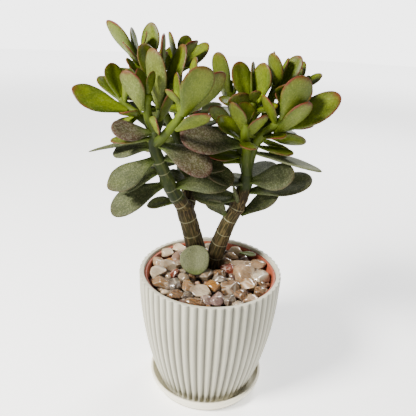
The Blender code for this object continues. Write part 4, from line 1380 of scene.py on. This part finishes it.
@dataclass
class Foliage:
    """All stems and leaves, each stem with the leaves that its CAD node holds."""

    leaf_skin: bpy.types.Material
    stem_skin: bpy.types.Material
    shape: LeafShape = LeafShape()
    joint_reach: float = 3.4
    joint_swell: float = 0.16
    scar_height: float = 0.28
    scar_width: float = 0.38

    def __post_init__(self) -> None:
        """Grows the leaves and notes where each stem swells under them."""
        self.blades = Crown(self.shape).leaves()
        self.joints: dict[str, list[Vector]] = {}
        for blade in self.blades:
            self.joints.setdefault(blade.stem, []).append(Vector(blade.base))

    @staticmethod
    def layers(bm: bmesh.types.BMesh) -> dict[str, Any]:
        """Makes the attributes that the skins read."""
        return {name: bm.verts.layers.float_vector.new(name) for name in ("place", "leaf", "mood", "skin")}

    @staticmethod
    def next_ring(bm: bmesh.types.BMesh, ring: list[bmesh.types.BMVert]) -> list[bmesh.types.BMVert]:
        """Extrudes a ring of a tube and returns the new ring, in the same order."""
        edges = {edge for vert in ring for edge in vert.link_edges
                 if edge.verts[0] in ring and edge.verts[1] in ring}
        made = bmesh.ops.extrude_edge_only(bm, edges=list(edges))["geom"]
        fresh = {item for item in made if isinstance(item, bmesh.types.BMVert)}
        match = {vert: edge.other_vert(vert) for vert in ring for edge in vert.link_edges
                 if edge.other_vert(vert) in fresh}
        return [match[vert] for vert in ring]

    def stem_radius(self, name: str, row: StemRow, station: float, total: float, centre: Vector) -> float:
        """A stem's radius: tapering, swollen where leaves grow, ridged at scars and rounded at the end.

        Args:
            name: The stem's name.
            row: Its sizes.
            station: How far along it, in millimetres.
            total: Its length.
            centre: The centre line's point there.

        Returns:
            The radius in millimetres.
        """
        radius = row.radii[0] + (row.radii[1] - row.radii[0]) * min(station / total, 1.0)
        marks = self.joints.get(name, [])
        swell = sum(math.exp(-(((centre - mark).length / self.joint_reach) ** 2)) for mark in marks)
        radius *= 1.0 + self.joint_swell * min(swell, 1.2)
        radius += self.scar_height * self.scar_share(row, station)
        if station > total:
            radius *= math.sqrt(max(0.0, 1.0 - ((station - total) / (0.52 * row.radii[1])) ** 2))
        return radius

    def scar_share(self, row: StemRow, station: float) -> float:
        """How much of a scar's ridge there is at a station, about 1 on a scar."""
        return sum(math.exp(-(((station - place) / self.scar_width) ** 2)) for place in row.scars)

    def stem(self, bm: bmesh.types.BMesh, layers: dict[str, Any], name: str, row: StemRow) -> None:
        """Grows a stem: a ring drawn out along its route, with swollen joints and ridged scars.

        Args:
            bm: The mesh to add to.
            layers: The mesh's attributes.
            name: The stem's name.
            row: Its sizes.
        """
        route = smooth_route(row, 1.5, 2)
        line = [Vector(point) for point in route]
        lengths = lengths_along(route).tolist()
        total = lengths[-1]
        ridges = {scar + step for scar in row.scars for step in (-0.7, -0.35, 0.0, 0.35, 0.7)}
        stations = [station for station in sorted({*lengths, *ridges}) if 0.0 <= station <= total]
        stations += [total + row.radii[1] * share for share in (0.25, 0.42, 0.5)]
        around = 28 if row.radii[0] > 6.0 else 18
        start = bmesh.ops.create_circle(bm, cap_ends=False, radius=1.0, segments=around)["verts"]
        ring = list(start)
        side = Vector((0, 1, 0)).cross(line[1] - line[0]).normalized()
        for index, station in enumerate(stations):
            if index:
                ring = self.next_ring(bm, ring)
            k = min(max(np.searchsorted(lengths, station), 1), len(line) - 1)
            ahead = (line[k] - line[k - 1]).normalized()
            centre = line[k - 1] + ahead * (station - lengths[k - 1])
            side = (side - ahead * side.dot(ahead)).normalized()
            other = ahead.cross(side)
            radius = self.stem_radius(name, row, station, total, centre)
            scar = min(1.0, self.scar_share(row, station))
            young = min(1.0, max(0.0, 0.5 + (station - row.green_from) / 14.0))
            slim = min(station / total, 1.0) ** 0.8 if name.endswith("shoot") else 0.0
            for place, vert in enumerate(ring):
                turn = place * FULL_TURN / around
                out = side * math.cos(turn) + other * math.sin(turn)
                rough = 1.0 + (0.05 - 0.03 * young) * wobble(out.x * 1.3, out.y * 1.3, station * 0.12, 1.0)
                rough += (0.018 * (1.0 - young)) * wobble(out.x * 7.0, out.y * 7.0, station * 0.1, 1.0)
                vert.co = (centre + out * radius * rough) * MM
                unrolled = Vector((math.cos(turn) * radius, math.sin(turn) * radius, station))
                vert[layers["place"]] = unrolled * MM
                patchy = 0.55 + 0.45 * wobble(out.x * 2.0, out.y * 2.0, station, 1.0)
                vert[layers["skin"]] = (young, scar * patchy, slim)
        bmesh.ops.contextual_create(bm, geom=list(start))
        bmesh.ops.contextual_create(bm, geom=ring)

    def leaf(self, bm: bmesh.types.BMesh, layers: dict[str, Any], blade: Blade, index: int) -> None:
        """Adds one leaf, shaped from a sphere whose poles are its base and tip.

        Args:
            bm: The mesh to add to.
            layers: The mesh's attributes.
            blade: The leaf in place.
            index: The leaf's number, which varies its shape.
        """
        length, width, sag = blade.length, blade.width, blade.sag
        rng = random.Random(100 + index)
        turn = Matrix(blade.turn.tolist())
        base = Vector(blade.base)
        loose = blade.node in LOOSE_LEAVES
        root = 0.0 if loose or blade.node == blade.stem else 3.2
        thick = min(self.shape.thickest, self.shape.slender * width)
        point = rng.uniform(0.0, 1.0) ** 2
        cup = rng.uniform(0.02, 0.11)
        skew = rng.uniform(-0.05, 0.05)
        twist = rng.uniform(-0.18, 0.18)
        age, blush, pale = blade.mood.value
        age = min(1.0, max(0.0, age + rng.uniform(-0.08, 0.08)))
        blush = blush + rng.uniform(-0.15, 0.15)
        pale = min(1.0, max(0.0, pale + rng.uniform(-0.08, 0.12)))
        made = bmesh.ops.create_uvsphere(bm, u_segments=self.shape.around, v_segments=self.shape.along,
                                         radius=1.0)
        offset = Vector((index * 0.37, index * 0.11, 0.0))
        for vert in made["verts"]:
            t = 0.5 * (1.0 + vert.co.z)
            flat = vert.co.xy.length
            across = vert.co.x / flat if flat > 1e-6 else 0.0
            upper = vert.co.y / flat if flat > 1e-6 else 0.0
            half = 0.5 * width * self.shape.outline(t, point) if 0.0 < t < 1.0 else 0.0
            if loose and width > 20.0:
                half = 0.5 * width * math.sqrt(max(0.0, 1.0 - abs(2.0 * t - 1.0) ** 2.2)) * (0.90 + 0.16 * t)
            if t <= 0.0:
                half = 0.0
            soft = math.copysign(abs(across) ** 0.9, across)
            body = thick * (0.80 + 0.25 * math.sin(math.pi * min(t * 1.3, 1.0)))
            body *= min(1.0, half / (0.22 * width) + 0.25)
            body *= math.sqrt(max(0.0, 1.0 - t**14)) if t < 1.0 else 0.0
            body = 0.0 if t <= 0.0 else body
            rise_here = upper * body * (0.46 if upper > 0 else 0.54)
            channel = -0.30 * thick * math.exp(-((soft / 0.34) ** 2))
            channel *= math.sin(math.pi * min(1.0, t * 1.05)) ** 0.5
            lift = cup * abs(soft) ** 1.6 * half
            local = Vector((t * (length + root) - root, soft * half + skew * length * math.sin(math.pi * t),
                            rise_here + channel * (0.5 + 0.5 * upper) * (1.0 if t < 0.97 else 0.0) + lift
                            - sag * t * (1.0 - t)))
            if 0.2 < t < 1.0:
                local.z += twist * local.y * (t - 0.2)
                local.z += 0.35 * noise.noise(Vector((local.x * 0.09, local.y * 0.12, index * 3.1)))
            vert.co = (base + turn @ local) * MM
            vert[layers["place"]] = local * MM + offset
            vert[layers["leaf"]] = (t, abs(across), 0.5 + 0.5 * upper)
            vert[layers["mood"]] = (age, blush, pale)

    def build(self) -> None:
        """Builds every stem as a piece with the leaves that its CAD node holds, and every other leaf as a
        piece of its own.
        """
        for name, stem_row in STEMS.items():
            bm = bmesh.new()
            layers = self.layers(bm)
            self.stem(bm, layers, name, stem_row)
            bmesh.ops.recalc_face_normals(bm, faces=bm.faces)
            bark_faces = len(bm.faces)
            for index, blade in enumerate(self.blades):
                if blade.node == name:
                    self.leaf(bm, layers, blade, index)
            bm.faces.ensure_lookup_table()
            for face in bm.faces[bark_faces:]:
                face.material_index = 1
            made = piece(f"{name}_growth", bm, self.stem_skin, [name])
            made.data.materials.append(self.leaf_skin)
        for index, blade in enumerate(self.blades):
            if blade.node in STEMS:
                continue
            bm = bmesh.new()
            self.leaf(bm, self.layers(bm), blade, index)
            piece(f"{blade.node}_blade", bm, self.leaf_skin, [blade.node])


# ---------------------------------------------------------------- floor, light and camera

@dataclass
class Studio:
    """The plain pale floor, soft lights and the camera."""

    camera_at: Point = (-4.92, -380.0, 353.2)
    pitch: float = 22.43
    roll: float = 2.575
    lens: float = 37.85
    sky: float = 0.37
    backdrop: float = 4.2

    def floor(self) -> None:
        """Lays the pale floor."""
        bm = bmesh.new()
        bmesh.ops.create_circle(bm, cap_ends=True, radius=6.0, segments=64)
        mesh = bpy.data.meshes.new("floor")
        bm.to_mesh(mesh)
        bm.free()
        paint = Paint("floor_paint")
        place = paint.place()
        away = paint.node("ShaderNodeVectorMath", {"operation": "LENGTH"}, "Value", _0=place)
        glow = paint.blend(away.between(0.2, 3.8), (0.26, 0.26, 0.26), (1.0, 1.0, 1.0))
        pale = paint.blend(paint.noise(place, 3.0) * 0.2, (0.95, 0.95, 0.95), (0.92, 0.92, 0.92))
        settings = {"Roughness": 0.9, "Specular IOR Level": 0.1, "Emission Strength": 3.4}
        mesh.materials.append(paint.finish(settings, Base_Color=pale, Emission_Color=glow))
        ground = bpy.data.objects.new("floor", mesh)
        bpy.context.scene.collection.objects.link(ground)

    def light(self, name: str, at: Point, size: float, power: float, colour: Colour) -> None:
        """Adds a soft area light that faces the plant."""
        lamp = bpy.data.lights.new(name, "AREA")
        lamp.shape = "DISK"
        lamp.size = size
        lamp.energy = power
        lamp.color = colour
        made = bpy.data.objects.new(name, lamp)
        aim = Vector((0, 0, 0.18)) - Vector(at)
        made.matrix_world = Matrix.Translation(at) @ aim.to_track_quat("-Z", "Y").to_matrix().to_4x4()
        bpy.context.scene.collection.objects.link(made)

    def build(self) -> None:
        """Sets up the whole studio."""
        self.floor()
        world = bpy.data.worlds.new("soft_sky")
        world.use_nodes = True
        tree = world.node_tree
        sky = tree.nodes["Background"]
        sky.inputs["Color"].default_value = (1.0, 1.0, 1.0, 1.0)
        seen = tree.nodes.new("ShaderNodeLightPath")
        bright = Wire(tree, seen.outputs["Is Camera Ray"]) * (self.backdrop - self.sky) + self.sky
        tree.links.new(bright.socket, sky.inputs["Strength"])
        bpy.context.scene.world = world
        self.light("key_light", (-0.92, -0.58, 1.06), 0.40, 72.0, (1.0, 0.97, 0.92))
        self.light("fill_light", (-0.4, -1.4, 0.45), 0.9, 2.0, (1.0, 0.98, 0.93))
        self.light("back_light", (0.6, 1.1, 1.1), 0.5, 26.0, (1.0, 1.0, 1.0))
        camera = bpy.data.cameras.new("camera")
        camera.lens = self.lens
        camera.sensor_width = 36.0
        camera.clip_start = 0.01
        made = bpy.data.objects.new("camera", camera)
        made.matrix_world = (Matrix.Translation(Vector(self.camera_at) * MM)
                             @ Matrix.Rotation(math.radians(90.0 - self.pitch), 4, "X")
                             @ Matrix.Rotation(math.radians(self.roll), 4, "Z"))
        bpy.context.scene.collection.objects.link(made)
        bpy.context.scene.camera = made


def main() -> None:
    """Builds the plant's pieces in order."""
    logging.basicConfig(level=logging.INFO, format="%(name)s %(message)s")
    cream = CreamFinish("cream_ware", (0.43, 0.415, 0.325), (0.385, 0.370, 0.282), 0.48)
    dish = CreamFinish("cream_dish", (0.80, 0.76, 0.61), (0.76, 0.70, 0.53), 0.42)
    FlutedPot().build(cream.material())
    Saucer().build(dish.material())
    NurseryPot().build(TerracottaFinish().material())
    SoilBed().build(SoilFinish().material())
    Pebbles().build(PebbleFinish().material())
    Foliage(LeafFinish().material(), StemFinish("stem_skin").material()).build()
    Studio().build()


if __name__ == "__main__":
    main()
